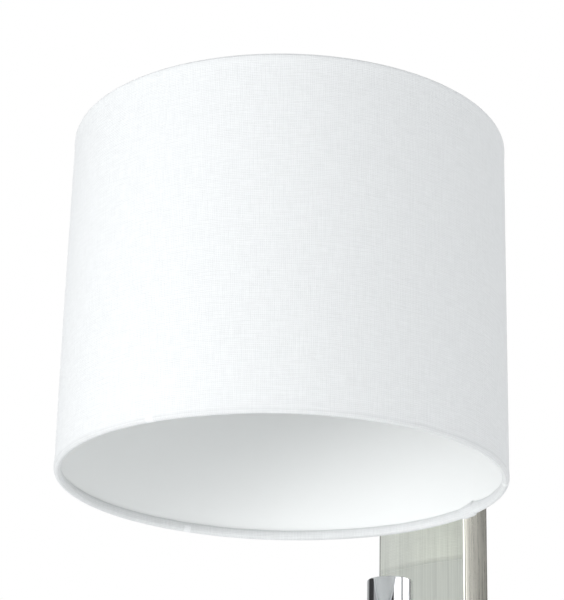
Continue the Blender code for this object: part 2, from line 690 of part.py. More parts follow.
def make_shade():
    place = (0, SHADE_AXIS_Y, 0)
    wire_inset = FABRIC + GAP + WIRE_RADIUS
    outer, inner_leg = SHADE_RADIUS, SHADE_RADIUS - HEM_WIDTH
    low, high = SHADE_RIM_Z, SHADE_TOP_Z
    outline = [(inner_leg, low), (outer, low), (outer, high), (inner_leg, high),
               (inner_leg, high - HEM_HEIGHT), (inner_leg + FABRIC, high - HEM_HEIGHT),
               (inner_leg + FABRIC, high - FABRIC), (outer - FABRIC, high - FABRIC),
               (outer - FABRIC, low + FABRIC), (inner_leg + FABRIC, low + FABRIC),
               (inner_leg + FABRIC, low + HEM_HEIGHT), (inner_leg, low + HEM_HEIGHT)]
    cover = turned("shade_cover", WHITE_LINEN, outline, place, UPWARD, SHADE_STEPS)
    notches = bmesh.new()
    notch_depth, notch_middle = 0.0045, inner_leg - 0.0005
    for direction in carrier_directions():
        rise = Vector((0, 0, high - HEM_HEIGHT / 2 - FABRIC))
        reach = Matrix.Translation(Vector(place) + direction * notch_middle + rise)
        turn = Matrix.Rotation(math.atan2(direction.y, direction.x), 4, "Z")
        size = Matrix.Diagonal((notch_depth, CARRIER_SLOT, HEM_HEIGHT, 1.0))
        bmesh.ops.create_cube(notches, size=1.0, matrix=reach @ turn @ size)
    combine(cover, cutter("hem_notches", notches), "DIFFERENCE")

    liner_outer = outer - FABRIC - GAP
    wire_top = wire_inset + WIRE_RADIUS + GAP
    ring("shade_liner", WHITE_PLASTIC, liner_outer - LINER, liner_outer, low + wire_top, high - wire_top,
         place, UPWARD, SHADE_STEPS)

    bottom, _ = wire_ring_shape(low + wire_inset)
    add_object("shade_ring_bottom", bottom, ZINC_STEEL, place)

    top, ring_radius = wire_ring_shape(high - wire_inset)
    carrier = add_object("shade_carrier", top, WHITE_PLASTIC, place)
    washer_inner, washer_outer = CARRIER_RING
    knee_inset, knuckle_out = 0.006, 0.004
    arms = bmesh.new()
    for direction in carrier_directions():
        rim_end = Vector(place) + direction * ring_radius + Vector((0, 0, high - wire_inset))
        knee = rim_end - direction * knee_inset
        hub_end = Vector(place) + direction * (washer_inner + washer_outer) / 2 + Vector((0, 0, CARRIER_Z))
        knuckle = hub_end + direction * knuckle_out
        weld_arm(arms, [rim_end, knee, knuckle, hub_end])
    combine(carrier, cutter("carrier_arms", arms), "UNION")
    hub = bmesh.new()
    add_rod(hub, Vector(place) + Vector((0, 0, CARRIER_Z - CARRIER_HUB_HALF)),
            Vector(place) + Vector((0, 0, CARRIER_Z + CARRIER_HUB_HALF)), washer_outer)
    combine(carrier, cutter("carrier_hub", hub), "UNION")
    reach = 5 * CARRIER_HUB_HALF
    drill(carrier, [((0, SHADE_AXIS_Y, CARRIER_Z - reach), (0, SHADE_AXIS_Y, CARRIER_Z + reach),
                     washer_inner)], "carrier_bore", ROUND_STEPS)


def weld_arm(shape, path, sides=8):
    """Solid round wire along a path, closed at both ends."""
    loops = []
    for k, point in enumerate(path):
        ahead = (path[min(k + 1, len(path) - 1)] - path[max(k - 1, 0)]).normalized()
        side = Vector((0, 0, 1)).cross(ahead).normalized()
        up = ahead.cross(side)
        loops.append([shape.verts.new(point + CARRIER_ARM_RADIUS
                                      * (math.cos(math.tau * j / sides) * side
                                         + math.sin(math.tau * j / sides) * up)) for j in range(sides)])
    for near, far in zip(loops, loops[1:]):
        join_loops(shape, near, far)
    shape.faces.new(loops[0])
    shape.faces.new(list(reversed(loops[-1])))


# ---------------------------------------------------------------- reading light
def make_reader_mount():
    """Bush through the front plate, with its washer and nut inside the housing."""
    place = (0, 0, PIVOT_Z)
    bore = STEM_RADIUS + GAP
    rear, flange, edge, front = 0.014, 0.009, 0.0015, BUSH_FLANGE - ON_PLATE
    outline = [(bore, rear), (BUSH_SPIGOT, rear), (BUSH_SPIGOT, -ON_PLATE), (flange, -ON_PLATE),
               (flange, front - edge), (flange - edge, front), (bore, front)]
    turned("reader_bush", CHROME, outline, place, OUTWARD)
    washer, washer_radius = 0.0008, 0.0095
    nut_flats, nut_height = 0.016, 0.004
    ring("reader_washer", ZINC_STEEL, BUSH_SPIGOT + GAP, washer_radius, -NUT_SEAT - washer, -NUT_SEAT,
         place, OUTWARD)
    hex_nut("reader_nut", BRASS, nut_flats, nut_height, BUSH_SPIGOT + GAP,
            (0, NUT_SEAT + washer + GAP, PIVOT_Z))


def make_reader_stem():
    """Round spindle with a flat tongue that carries the head's pivot pin."""
    neck_back = BUSH_FLANGE - ON_PLATE + GAP
    tongue_back = -(PIVOT_Y + TONGUE_LENGTH)
    neck_radius = 0.006
    outline = [(0, -STEM_REAR_Y), (STEM_RADIUS, -STEM_REAR_Y), (STEM_RADIUS, neck_back),
               (neck_radius, neck_back), (neck_radius, tongue_back), (0, tongue_back)]
    stem = turned("reader_stem", CHROME, outline, (0, 0, PIVOT_Z), OUTWARD)
    corners = []
    for k in range(9):
        angle = math.radians(-90 + 180 * k / 8)
        corners.append((-PIVOT_Y + TONGUE_HALF_HEIGHT * math.cos(angle),
                        TONGUE_HALF_HEIGHT * math.sin(angle)))
    root = tongue_back - 0.0008
    corners += [(root, TONGUE_HALF_HEIGHT), (root, -TONGUE_HALF_HEIGHT)]
    tongue = bmesh.new()
    face = tongue.faces.new([tongue.verts.new((-TONGUE_WIDTH / 2, -out, PIVOT_Z + up))
                             for out, up in corners])
    grown = bmesh.ops.extrude_face_region(tongue, geom=[face])
    moved = [item for item in grown["geom"] if isinstance(item, bmesh.types.BMVert)]
    bmesh.ops.translate(tongue, verts=moved, vec=(TONGUE_WIDTH, 0, 0))
    combine(stem, cutter("stem_tongue", tongue), "UNION")
    reach = TONGUE_WIDTH
    drill(stem, [((-reach, PIVOT_Y, PIVOT_Z), (reach, PIVOT_Y, PIVOT_Z), PIN_RADIUS + GAP)], "tongue_bore")
    clip_radius, clip_rear, clip_front = 0.0062, 0.0127, 0.0137
    clip = ring("reader_clip", ZINC_STEEL, STEM_RADIUS + GAP, clip_radius, clip_rear, clip_front,
                (0, 0, PIVOT_Z), OUTWARD)
    carry([stem, clip], "reader_swivel_axis", (0, 0, PIVOT_Z))


def make_reader_head():
    """Cap on the pivot, tube, heat sink, LED board, LED, lens and bezel."""
    place = (0, PIVOT_Y, HEAD_TOP_Z)
    chamfer = 0.0006
    cap_length, spigot_length = 0.028, 0.007
    cap_foot = -cap_length - spigot_length
    spigot = HEAD_RADIUS - HEAD_WALL - GAP
    outline = [(0, 0), (HEAD_RADIUS - chamfer, 0), (HEAD_RADIUS, -chamfer), (HEAD_RADIUS, -cap_length),
               (spigot, -cap_length), (spigot, cap_foot), (0, cap_foot)]
    cap = turned("reader_cap", CHROME, outline, place, UPWARD)
    slot = bmesh.new()
    side, reach = TONGUE_WIDTH / 2 + GAP, TONGUE_HALF_HEIGHT + 0.0005
    add_block(slot, (-side, PIVOT_Y - reach, PIVOT_Z - reach),
              (side, PIVOT_Y + 2 * HEAD_RADIUS, HEAD_TOP_Z + BEYOND))
    combine(cap, cutter("cap_slot", slot), "DIFFERENCE")
    beyond = HEAD_RADIUS + BEYOND
    drill(cap, [((-beyond, PIVOT_Y, PIVOT_Z), (beyond, PIVOT_Y, PIVOT_Z), PIN_RADIUS + GAP)], "cap_bore")
    pin_half = 0.0102
    outline = [(0, -pin_half), (PIN_RADIUS, -pin_half), (PIN_RADIUS, pin_half), (0, pin_half)]
    pin = turned("reader_pin", ZINC_STEEL, outline, (0, PIVOT_Y, PIVOT_Z), SIDEWAYS, CORE_STEPS)

    tube_top = -cap_length - GAP
    tube_foot = 0.0018 - HEAD_LENGTH
    tube = ring("reader_tube", CHROME, HEAD_RADIUS - HEAD_WALL, HEAD_RADIUS, tube_foot, tube_top, place,
                UPWARD)
    sink_top, sink_foot = cap_foot - GAP, -0.062
    fin_count, groove, core = 4, 0.0015, spigot - 0.0025
    fins = [(0, sink_top)]
    pitch = (sink_top - sink_foot) / fin_count
    for k in range(fin_count):
        base = sink_top - k * pitch
        fins += [(spigot, base), (spigot, base - pitch + groove)]
        if k < fin_count - 1:
            fins += [(core, base - pitch + groove), (core, base - pitch)]
    fins[-1] = (spigot, sink_foot)
    fins.append((0, sink_foot))
    sink = turned("reader_heat_sink", BARE_ALUMINIUM, fins, place, UPWARD, CORE_STEPS)
    board_radius, board_thickness = spigot - 0.0002, 0.0016
    board_top = sink_foot - GAP
    board_foot = board_top - board_thickness
    outline = [(0, board_top), (board_radius, board_top), (board_radius, board_foot), (0, board_foot)]
    board = turned("reader_led_board", WHITE_PLASTIC, outline, place, UPWARD)
    led_top = board_foot - GAP
    chip, chip_thickness = 0.0018, 0.001
    led = block("reader_led", PHOSPHOR, (-chip, -chip, led_top - chip_thickness), (chip, chip, led_top))
    led.location = place
    lens_top, lens_foot = led_top - chip_thickness - GAP, 0.0045 - HEAD_LENGTH
    lens_tip, lens_edge = 0.0045, 0.0015
    outline = [(0, lens_top), (lens_tip, lens_top), (spigot, lens_foot + lens_edge), (spigot, lens_foot),
               (0, lens_foot)]
    lens = turned("reader_lens", CLEAR_ACRYLIC, outline, place, UPWARD)
    lip = 0.0076
    outline = [(lip, -HEAD_LENGTH), (HEAD_RADIUS - chamfer, -HEAD_LENGTH),
               (HEAD_RADIUS, chamfer - HEAD_LENGTH),
               (HEAD_RADIUS, tube_foot - GAP), (spigot, tube_foot - GAP), (spigot, lens_foot - GAP),
               (lip + 0.0006, lens_foot - GAP)]
    bezel = turned("reader_bezel", CHROME, outline, place, UPWARD)
    carry([cap, pin, tube, sink, board, led, lens, bezel], "reader_tilt_axis", (0, PIVOT_Y, PIVOT_Z))


# ---------------------------------------------------------------- switches
def make_switch(name, z):
    """Switch body inside the housing, chrome button and the collar round it."""
    place = (0, 0, z)
    body_front = NUT_SEAT
    body = block(name + "_body", BLACK_PLASTIC, (-SWITCH_HALF, body_front, z - SWITCH_HALF),
                 (SWITCH_HALF, SWITCH_REAR_Y, z + SWITCH_HALF), SWITCH_CORNER)
    plunger, plunger_reach, well = 0.002, 0.0037, 0.0024
    plunger_end = body_front + plunger_reach
    drill(body, [((0, body_front - BEYOND, z), (0, plunger_end + BUTTON_TRAVEL + GAP, z), well)],
          name + "_well")
    front = 0.0040 - ON_PLATE
    shoulder = -(body_front - BUTTON_TRAVEL - 2 * GAP)
    outline = [(0, -plunger_end), (plunger, -plunger_end), (plunger, shoulder), (BUTTON_RADIUS, shoulder),
               (BUTTON_RADIUS, front - 0.0010), (BUTTON_RADIUS - 0.0006, front - 0.0003),
               (BUTTON_RADIUS - 0.0022, front), (0, front)]
    button = turned(name + "_button", CHROME, outline, place, OUTWARD)
    carry([button], name + "_axis", place)
    collar_inner, collar_outer = BUTTON_RADIUS + 0.0004, 0.0085
    collar_height, collar_edge = 0.0018, 0.0006
    ring(name + "_collar", CHROME, collar_inner, collar_outer, -ON_PLATE, collar_height - ON_PLATE, place,
         OUTWARD, ROUND_STEPS, collar_edge)


# ---------------------------------------------------------------- assembly
def clear_scene():
    for piece in list(bpy.data.objects):
        bpy.data.objects.remove(piece, do_unlink=True)


def main():
    clear_scene()
    make_wall_bracket()
    make_cable_grommet()
    make_terminal_block()
    make_earth_screw()
    make_led_driver()
    make_leads()
    make_housing()
    make_housing_screws()
    make_plate_gasket()
    make_front_plate()
    make_plate_nuts()
    make_arm()
    make_lampholder()
    make_bulb()
    make_shade()
    make_reader_mount()
    make_reader_stem()
    make_reader_head()
    for name, z in BUTTON_HEIGHTS.items():
        make_switch(name, z)


main()
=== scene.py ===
"""Looks of the bedside wall lamp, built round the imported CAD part.

Metres, +Z up. The wall is the plane y = 0 and the lamp stands out from it towards -Y.
Round pieces are rebuilt finely here; flat sheet-metal pieces keep their CAD solid with eased edges.
"""

import math

import bmesh
import bpy
from mathutils import Matrix, Vector, noise


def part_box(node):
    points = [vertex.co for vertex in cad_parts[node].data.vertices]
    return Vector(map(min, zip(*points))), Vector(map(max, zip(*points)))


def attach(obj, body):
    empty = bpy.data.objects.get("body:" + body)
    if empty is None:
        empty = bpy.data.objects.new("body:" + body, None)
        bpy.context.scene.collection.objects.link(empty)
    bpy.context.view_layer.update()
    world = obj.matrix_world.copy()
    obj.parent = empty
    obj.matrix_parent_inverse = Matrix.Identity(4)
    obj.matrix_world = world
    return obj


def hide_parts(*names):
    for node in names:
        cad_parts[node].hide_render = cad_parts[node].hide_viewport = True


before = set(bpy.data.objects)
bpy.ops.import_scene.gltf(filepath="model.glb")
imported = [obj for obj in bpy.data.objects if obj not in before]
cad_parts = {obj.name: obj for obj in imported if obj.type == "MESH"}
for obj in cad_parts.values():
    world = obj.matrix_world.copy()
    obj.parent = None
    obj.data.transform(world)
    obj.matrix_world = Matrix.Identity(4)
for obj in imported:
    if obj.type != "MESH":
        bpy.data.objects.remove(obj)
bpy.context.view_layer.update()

# ---------------------------------------------------------------- sizes
FINE_STEPS = 96
RING_STEPS = 160
SHARP = 35                   # degrees between two faces from which their edge is a sharp one
SLIGHT_TURN = math.radians(8)        # an outline's corner that turns less stays as it is
CORNER_SHARE = 0.45          # most of a side's length that one rounded corner may use
TINY = 1e-6                  # points closer than this are the same
ON_AXIS = 1e-7
GAP = 0.0003                 # clearance between neighbouring pieces

cover_low, cover_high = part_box("shade_cover")
SHADE_AXIS = Vector(((cover_low.x + cover_high.x) / 2, (cover_low.y + cover_high.y) / 2, 0))
SHADE_RADIUS = (cover_high.x - cover_low.x) / 2
RIM_Z, TOP_Z = cover_low.z, cover_high.z
FABRIC = 0.0004              # thickness of the cloth
FOLD_RADIUS = 0.0014         # cloth's own line round the hem wire
WIRE_INSET = 0.0016          # hem wire's centre from the shade's edge and from its outer face
WIRE_RADIUS = 0.0009
HEM_HEIGHT = 0.0040
HEM_SWELL = 0.00015          # how far the hem stands out of the wall
SEAM_ANGLE = math.radians(58.8)      # where the cloth laps, seen from above, from +X towards +Y
LAP_WIDTH = 0.008
LAP_STEP = 0.00035
LAP_FADE = 0.004             # width over which the lap's hidden edge dies out
LAP_CURL = 0.0026            # how far the lap's cut edge curls aside on the bottom hem
HEM_STARTS = 0.1638          # cloth's own length, from its top edge, at which the bottom hem turns under and the painted hem shade begins
FOLD_STEPS, LEG_STEPS = 12, 5        # points round a hem's fold and along its turn-in
TURN_IN_LEAN = 0.0013        # how far the turn-in's edge tucks back against the lining
TURN_IN_TAIL = 0.0006        # turn-in beyond the hem's height
SEAM_REACH = 0.006           # how near to the seam the bottom turn-in is pulled longer
SEAM_PULL = 0.0012
FRAY = 0.00025               # unevenness of the turn-in's cut edge
RIM_WAVE = 0.00012           # unevenness of the bottom rim
UNROUND = 0.00016            # unroundness of the whole shade
LINING_OUT, LINING_IN = 0.0009, 0.0013       # lining's two faces, in from the shade's own
LINING_SHORT = 0.0029        # lining's edges, in from the shade's
LINING_LAP = 0.00005
CARRIER_ANGLES = [math.radians(a) for a in (-90, 30, 150)]
NOTCH_HALF = math.radians(1.0)       # at each carrier arm the cloth stops part way round the top wire
NOTCH_STOP, NOTCH_STEP = math.radians(70), math.radians(0.5)
ARM_RADIUS, ARM_BORE, ARM_BEND = 0.006, 0.0048, 0.016
HOLDER_THREAD = (0.0021, 0.0005)     # pitch and depth
BULB_THREAD = (0.0028, 0.0006)
HEAD_WALL = 0.00125          # reading light's tube
PIN_RADIUS, PIN_HOLE, PIN_HALF = 0.002, 0.0023, 0.0102
DARK_CARD = (0.03, 0.03, 0.03)
AIM = Vector((0, SHADE_AXIS.y, 0.03))        # what the studio's lights point at


# ---------------------------------------------------------------- mesh helpers
def corner_curve(before, here, after, radius, steps):
    """Points that round a corner, from and to the same distance from it."""
    to_before, to_after = before - here, after - here
    turn = math.pi - to_before.angle(to_after)
    reach = min(radius * math.tan(turn / 2), CORNER_SHARE * to_before.length, CORNER_SHARE * to_after.length)
    start = here + to_before.normalized() * reach
    stop = here + to_after.normalized() * reach
    made = []
    for k in range(steps + 1):
        t = k / steps
        made.append((1 - t) ** 2 * start + 2 * (1 - t) * t * here + t * t * stop)
    return made


def rounded(outline, radius, segments=3):
    """Outline of (radius, along) pairs with its corners rounded; corners on the axis stay."""
    made = []
    for k, point in enumerate(outline):
        before, here, after = Vector(outline[k - 1]), Vector(point), Vector(outline[(k + 1) % len(outline)])
        doubled = min((before - here).length, (after - here).length) < ON_AXIS
        if here.x < ON_AXIS or doubled or math.pi - (before - here).angle(after - here) < SLIGHT_TURN:
            made.append(here)
        else:
            made += corner_curve(before, here, after, radius, segments)
    return made


def new_piece(name, shape, sharp=SHARP):
    """Object from a bmesh, smooth apart from edges sharper than the given angle."""
    bmesh.ops.recalc_face_normals(shape, faces=shape.faces)
    mesh = bpy.data.meshes.new(name)
    shape.to_mesh(mesh)
    shape.free()
    mesh.polygons.foreach_set("use_smooth", [True] * len(mesh.polygons))
    mesh.set_sharp_from_angle(angle=math.radians(sharp))
    piece = bpy.data.objects.new(name, mesh)
    bpy.context.scene.collection.objects.link(piece)
    return piece


def placed(origin, axis, radius, along, angle):
    """Point at a radius and angle about an axis: up, out from the wall, or sideways."""
    across, beside = radius * math.cos(angle), radius * math.sin(angle)
    if axis == "up":
        return Vector((origin[0] + across, origin[1] + beside, origin[2] + along))
    if axis == "out":
        return Vector((origin[0] + across, origin[1] - along, origin[2] + beside))
    return Vector((origin[0] + along, origin[1] + across, origin[2] + beside))


def lathe(name, outline, origin, axis="up", steps=FINE_STEPS, shape_at=None, sharp=SHARP):
    """Closed outline turned about an axis. shape_at(radius, along, angle) may change each point."""
    shape = bmesh.new()
    uv = shape.loops.layers.uv.new("metres")
    lengths = [0.0]
    for k in range(1, len(outline) + 1):
        lengths.append(lengths[-1] + (Vector(outline[k % len(outline)]) - Vector(outline[k - 1])).length)
    widest = max(point[0] for point in outline)
    columns = []
    for radius, along in outline:
        if radius < ON_AXIS:
            columns.append([shape.verts.new(placed(origin, axis, 0, along, 0))] * steps)
            continue
        column = []
        for j in range(steps):
            angle = math.tau * j / steps
            r, h = shape_at(radius, along, angle) if shape_at else (radius, along)
            column.append(shape.verts.new(placed(origin, axis, r, h, angle)))
        columns.append(column)
    for k in range(len(outline)):
        near, far = columns[k], columns[(k + 1) % len(outline)]
        if near[0] is near[1] and far[0] is far[1]:
            continue
        for j in range(steps):
            ahead = (j + 1) % steps
            corners = [(near[j], j, k), (near[ahead], j + 1, k), (far[ahead], j + 1, k + 1),
                       (far[j], j, k + 1)]
            kept = []
            for corner in corners:
                if all(corner[0] is not other[0] for other in kept):
                    kept.append(corner)
            face = shape.faces.new([corner[0] for corner in kept])
            for loop, corner in zip(face.loops, kept):
                loop[uv].uv = (widest * math.tau * corner[1] / steps, lengths[corner[2]])
    return new_piece(name, shape, sharp)


def frames(path, closed=False):
    """Point, side and up vectors along a path, carried without twist."""
    count = len(path)
    made = []
    side = None
    for k, point in enumerate(path):
        if closed:
            ahead = (path[(k + 1) % count] - path[k - 1]).normalized()
        else:
            ahead = (path[min(k + 1, count - 1)] - path[max(k - 1, 0)]).normalized()
        if side is None:
            guide = Vector((0, 0, 1)) if abs(ahead.z) < 0.9 else Vector((1, 0, 0))
            side = guide.cross(ahead).normalized()
        side = (side - ahead * side.dot(ahead)).normalized()
        made.append((point, side, ahead.cross(side)))
    return made


def sweep(shape, path, radius, sides, closed=False, bore=0.0):
    """Round rod along a path, or a pipe when it has a bore. A closed path makes a ring."""
    skins = [radius] if not bore else [radius, bore]
    loops = []
    for skin in skins:
        loops.append([[shape.verts.new(point + skin * (math.cos(math.tau * j / sides) * side
                                                       + math.sin(math.tau * j / sides) * up))
                       for j in range(sides)] for point, side, up in frames(path, closed)])
    count = len(path)
    for skin in loops:
        for k in range(count if closed else count - 1):
            near, far = skin[k], skin[(k + 1) % count]
            for j in range(sides):
                shape.faces.new((near[j], near[(j + 1) % sides], far[(j + 1) % sides], far[j]))
    if closed:
        return
    if bore:
        for end in (0, -1):
            outer, inner = loops[0][end], loops[1][end]
            for j in range(sides):
                shape.faces.new((outer[j], outer[(j + 1) % sides], inner[(j + 1) % sides], inner[j]))
    else:
        shape.faces.new(loops[0][0])
        shape.faces.new(loops[0][-1])


def arc_points(centre, radius, start, stop, steps):
    """Points of an arc in the plane of y and z, given in degrees."""
    made = []
    for k in range(steps + 1):
        angle = math.radians(start + (stop - start) * k / steps)
        made.append(Vector(centre) + Vector((0, radius * math.cos(angle), radius * math.sin(angle))))
    return made


def carve(piece, tool, operation="DIFFERENCE"):
    """Cuts or joins a tool into a piece for good, and removes the tool."""
    cut = piece.modifiers.new("carve", "BOOLEAN")
    cut.operation, cut.solver, cut.object = operation, "EXACT", tool
    bpy.context.view_layer.update()
    made = bpy.data.meshes.new_from_object(piece.evaluated_get(bpy.context.evaluated_depsgraph_get()))
    piece.modifiers.clear()
    piece.data = made
    bpy.data.objects.remove(tool, do_unlink=True)
    made.set_sharp_from_angle(angle=math.radians(SHARP))


def prism(name, corners, half_width):
    """Flat outline of (y, z) corners drawn out to both sides along x."""
    shape = bmesh.new()
    ends = [[shape.verts.new((x, y, z)) for y, z in corners] for x in (-half_width, half_width)]
    for j in range(len(corners)):
        ahead = (j + 1) % len(corners)
        shape.faces.new((ends[0][j], ends[0][ahead], ends[1][ahead], ends[1][j]))
    shape.faces.new(ends[0])
    shape.faces.new(ends[1])
    return new_piece(name, shape)


def ease(piece, width, segments=2, weld=False):
    """Rounds the sharp edges of a piece with modifiers."""
    if weld:
        piece.modifiers.new("weld", "WELD").merge_threshold = TINY
    edge = piece.modifiers.new("ease", "BEVEL")
    edge.width, edge.segments, edge.limit_method = width, segments, "ANGLE"
    edge.angle_limit = math.radians(SHARP)
    piece.data.polygons.foreach_set("use_smooth", [True] * len(piece.data.polygons))
    piece.modifiers.new("even", "WEIGHTED_NORMAL").weight = 100


# ---------------------------------------------------------------- materials
class Look:
    """A Principled material with short ways to wire its detail."""

    def __init__(self, name, colour, roughness, metallic=0.0):
        self.name = name
        self.material = bpy.data.materials.new(name)
        self.material.use_nodes = True
        self.tree = self.material.node_tree
        self.shader = next(n for n in self.tree.nodes if n.type == "BSDF_PRINCIPLED")
        self.shader.inputs["Base Color"].default_value = (*colour, 1)
        self.shader.inputs["Roughness"].default_value = roughness
        self.shader.inputs["Metallic"].default_value = metallic
        self.colour = colour
        self.place = self.tree.nodes.new("ShaderNodeTexCoord")

    def link(self, out, node, socket):
        self.tree.links.new(out, node.inputs[socket])

    def stretched(self, scale, space="Object"):
        """Coordinates scaled per axis."""
        mapping = self.tree.nodes.new("ShaderNodeMapping")
        mapping.inputs["Scale"].default_value = scale
        self.link(self.place.outputs[space], mapping, "Vector")
        return mapping.outputs["Vector"]

    def noise(self, scale, detail=3.0, space="Object", rough=0.5):
        """Noise whose scale is in cells per metre, per axis."""
        node = self.tree.nodes.new("ShaderNodeTexNoise")
        node.inputs["Scale"].default_value = 1.0
        node.inputs["Detail"].default_value = detail
        node.inputs["Roughness"].default_value = rough
        self.link(self.stretched(scale, space), node, "Vector")
        return node.outputs["Fac"]

    def ranged(self, value, low, high, start=0.3, stop=0.7):
        """Value from start..stop mapped on low..high."""
        node = self.tree.nodes.new("ShaderNodeMapRange")
        node.inputs["From Min"].default_value = start
        node.inputs["From Max"].default_value = stop
        node.inputs["To Min"].default_value = low
        node.inputs["To Max"].default_value = high
        self.link(value, node, "Value")
        return node.outputs["Result"]

    def maths(self, operation, a, b=None):
        node = self.tree.nodes.new("ShaderNodeMath")
        node.operation = operation
        for index, value in enumerate((a, b)):
            if value is None:
                continue
            if isinstance(value, (int, float)):
                node.inputs[index].default_value = value
            else:
                self.tree.links.new(value, node.inputs[index])
        return node.outputs["Value"]

    def tint(self, value, darker, lighter):
        """Base colour running between two multiples of the material's own colour."""
        mix = self.tree.nodes.new("ShaderNodeMix")
        mix.data_type = "RGBA"
        sockets = [s for s in mix.inputs if s.type == "RGBA"]
        sockets[0].default_value = (*[c * darker for c in self.colour], 1)
        sockets[1].default_value = (*[min(c * lighter, 1) for c in self.colour], 1)
        self.tree.links.new(value, mix.inputs[0])
        self.link([o for o in mix.outputs if o.type == "RGBA"][0], self.shader, "Base Color")

    def rough(self, value, low, high):
        self.link(self.ranged(value, low, high), self.shader, "Roughness")

    def bump(self, height, distance, strength=1.0):
        """Bump whose height of 0..1 stands for a distance in metres. Bumps add up."""
        node = self.tree.nodes.new("ShaderNodeBump")
        node.inputs["Strength"].default_value = strength
        node.inputs["Distance"].default_value = distance
        self.link(height, node, "Height")
        under = self.shader.inputs["Normal"]
        if under.links:
            self.link(under.links[0].from_socket, node, "Normal")
        self.link(node.outputs["Normal"], self.shader, "Normal")

    def setting(self, socket, value):
        self.shader.inputs[socket].default_value = value


def linen():
    """Plain linen: crossing threads with slubs and faint fuzz, and painted shade where the bottom hem turns
    under.
    """
    look = Look("white_linen", (0.875, 0.893, 0.90), 0.88)
    pitch = 0.0008
    threads = []
    for across in ("X", "Y"):
        wave = look.tree.nodes.new("ShaderNodeTexWave")
        wave.bands_direction = across
        wave.inputs["Scale"].default_value = math.tau / 20
        wave.inputs["Distortion"].default_value = 1.1
        wave.inputs["Detail"].default_value = 2.0
        wave.inputs["Detail Scale"].default_value = 0.35
        look.link(look.stretched((1 / pitch, 1 / pitch, 1), "UV"), wave, "Vector")
        threads.append(wave.outputs["Fac"])
    weave = look.maths("MULTIPLY", look.maths("ADD", *threads), 0.5)
    upright = look.noise((1150, 110, 1), 2.0, "UV")
    level = look.noise((130, 1150, 1), 2.0, "UV")
    slubs = look.maths("MULTIPLY", look.maths("ADD", upright, level), 0.5)
    blend = look.maths("ADD", look.maths("MULTIPLY", slubs, 0.7), look.maths("MULTIPLY", weave, 0.3))
    along = look.tree.nodes.new("ShaderNodeSeparateXYZ")
    look.link(look.place.outputs["UV"], along, "Vector")
    # Painted shade: the cloth is darkened from where the bottom hem turns under, standing in for the shade
    # under the rolled rim, not for any change in the cloth itself.
    doubled = look.ranged(along.outputs["Y"], 0, 0.45, HEM_STARTS, HEM_STARTS + 0.001)
    tone_and_painted_hem_shade = look.maths("SUBTRACT", look.ranged(blend, 0.6, 1, 0.35, 0.65), doubled)
    look.tint(tone_and_painted_hem_shade, 0.80, 1.04)
    look.bump(weave, 0.00012, 0.5)
    look.bump(slubs, 0.0004, 0.5)
    look.rough(slubs, 0.82, 0.95)
    look.setting("Sheen Weight", 0.12)
    look.setting("Sheen Roughness", 0.5)
    look.setting("Specular IOR Level", 0.25)
    return look


def laminate():
    """Smooth white laminate with a faint sheen, very slightly wavy."""
    look = Look("shade_laminate", (0.925, 0.94, 0.937), 0.42)
    look.tint(look.noise((14, 14, 14), 3.0), 0.985, 1.01)
    look.rough(look.noise((90, 90, 90)), 0.38, 0.52)
    look.bump(look.noise((60, 60, 5), 2.0), 0.0004, 0.25)
    look.setting("Specular IOR Level", 0.35)
    return look


def plastic(name, colour, roughness, spread=0.06, grain=900, relief=0.00003, mottle=0.03):
    """Moulded plastic or rubber: fine texture, uneven gloss, slight mottling."""
    look = Look(name, colour, roughness)
    look.tint(look.noise((35, 35, 35), 3.0), 1 - mottle, 1 + mottle)
    look.rough(look.noise((70, 70, 70), 4.0), max(roughness - spread, 0.02), roughness + spread)
    look.bump(look.noise((grain, grain, grain), 2.0), relief, 0.5)
    return look


def metal(name, colour, roughness, spread, grain, relief=0.00001, mottle=0.02):
    """Metal with uneven polish and a grain that may be stretched into brushing."""
    look = Look(name, colour, roughness, 1.0)
    look.tint(look.noise((25, 25, 25), 3.0), 1 - mottle, 1 + mottle)
    look.rough(look.noise(grain, 4.0, rough=0.6), max(roughness - spread, 0.01), roughness + spread)
    look.bump(look.noise(grain, 3.0), relief, 0.5)
    return look


def polished_steel():
    """Mirror polish with faint upright polishing lines."""
    look = Look("polished_steel", (0.87, 0.88, 0.815), 0.02, 1.0)
    lines = look.noise((1500, 1500, 14), 3.0, rough=0.7)
    broad = look.noise((220, 220, 4), 2.0)
    marks = look.maths("ADD", look.maths("MULTIPLY", lines, 0.7), look.maths("MULTIPLY", broad, 0.3))
    look.tint(look.ranged(marks, 0, 1, 0.36, 0.60), 0.89, 1.05)
    look.rough(lines, 0.012, 0.045)
    look.bump(lines, 0.0000015, 0.5)
    return look


def satin_nickel():
    """Satin plating brushed upwards, on folded sheet with very slightly crowned sides."""
    look = Look("satin_nickel", (0.68, 0.665, 0.595), 0.30, 1.0)
    brushing = look.noise((1200, 1200, 22), 4.0, rough=0.7)
    look.tint(look.ranged(brushing, 0, 1), 0.88, 1.06)
    look.rough(brushing, 0.24, 0.36)
    look.bump(brushing, 0.000012, 0.6)
    housing_low, housing_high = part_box("housing")
    middle = (housing_low.y + housing_high.y) / 2
    apart = look.tree.nodes.new("ShaderNodeSeparateXYZ")
    look.link(look.place.outputs["Object"], apart, "Vector")
    offset = look.maths("SUBTRACT", apart.outputs["Y"], middle)
    crown = look.maths("MULTIPLY", look.maths("MULTIPLY", offset, offset), -3.4)
    look.bump(crown, 1.0)
    look.setting("Anisotropic", 0.4)
    return look


def opal():
    """Opal glass: glossy and slightly milky."""
    look = plastic("opal", (0.93, 0.925, 0.90), 0.22, 0.05, 300, 0.00001, 0.01)
    look.setting("Coat Weight", 0.3)
    look.setting("Subsurface Weight", 0.25)
    look.setting("Subsurface Radius", (0.004, 0.004, 0.003))
    look.setting("Subsurface Scale", 1.0)
    return look


def clear_acrylic():
    look = plastic("clear_acrylic", (0.97, 0.98, 0.985), 0.05, 0.03, 400, 0.00001, 0.005)
    look.setting("Transmission Weight", 0.95)
    look.setting("IOR", 1.49)
    return look


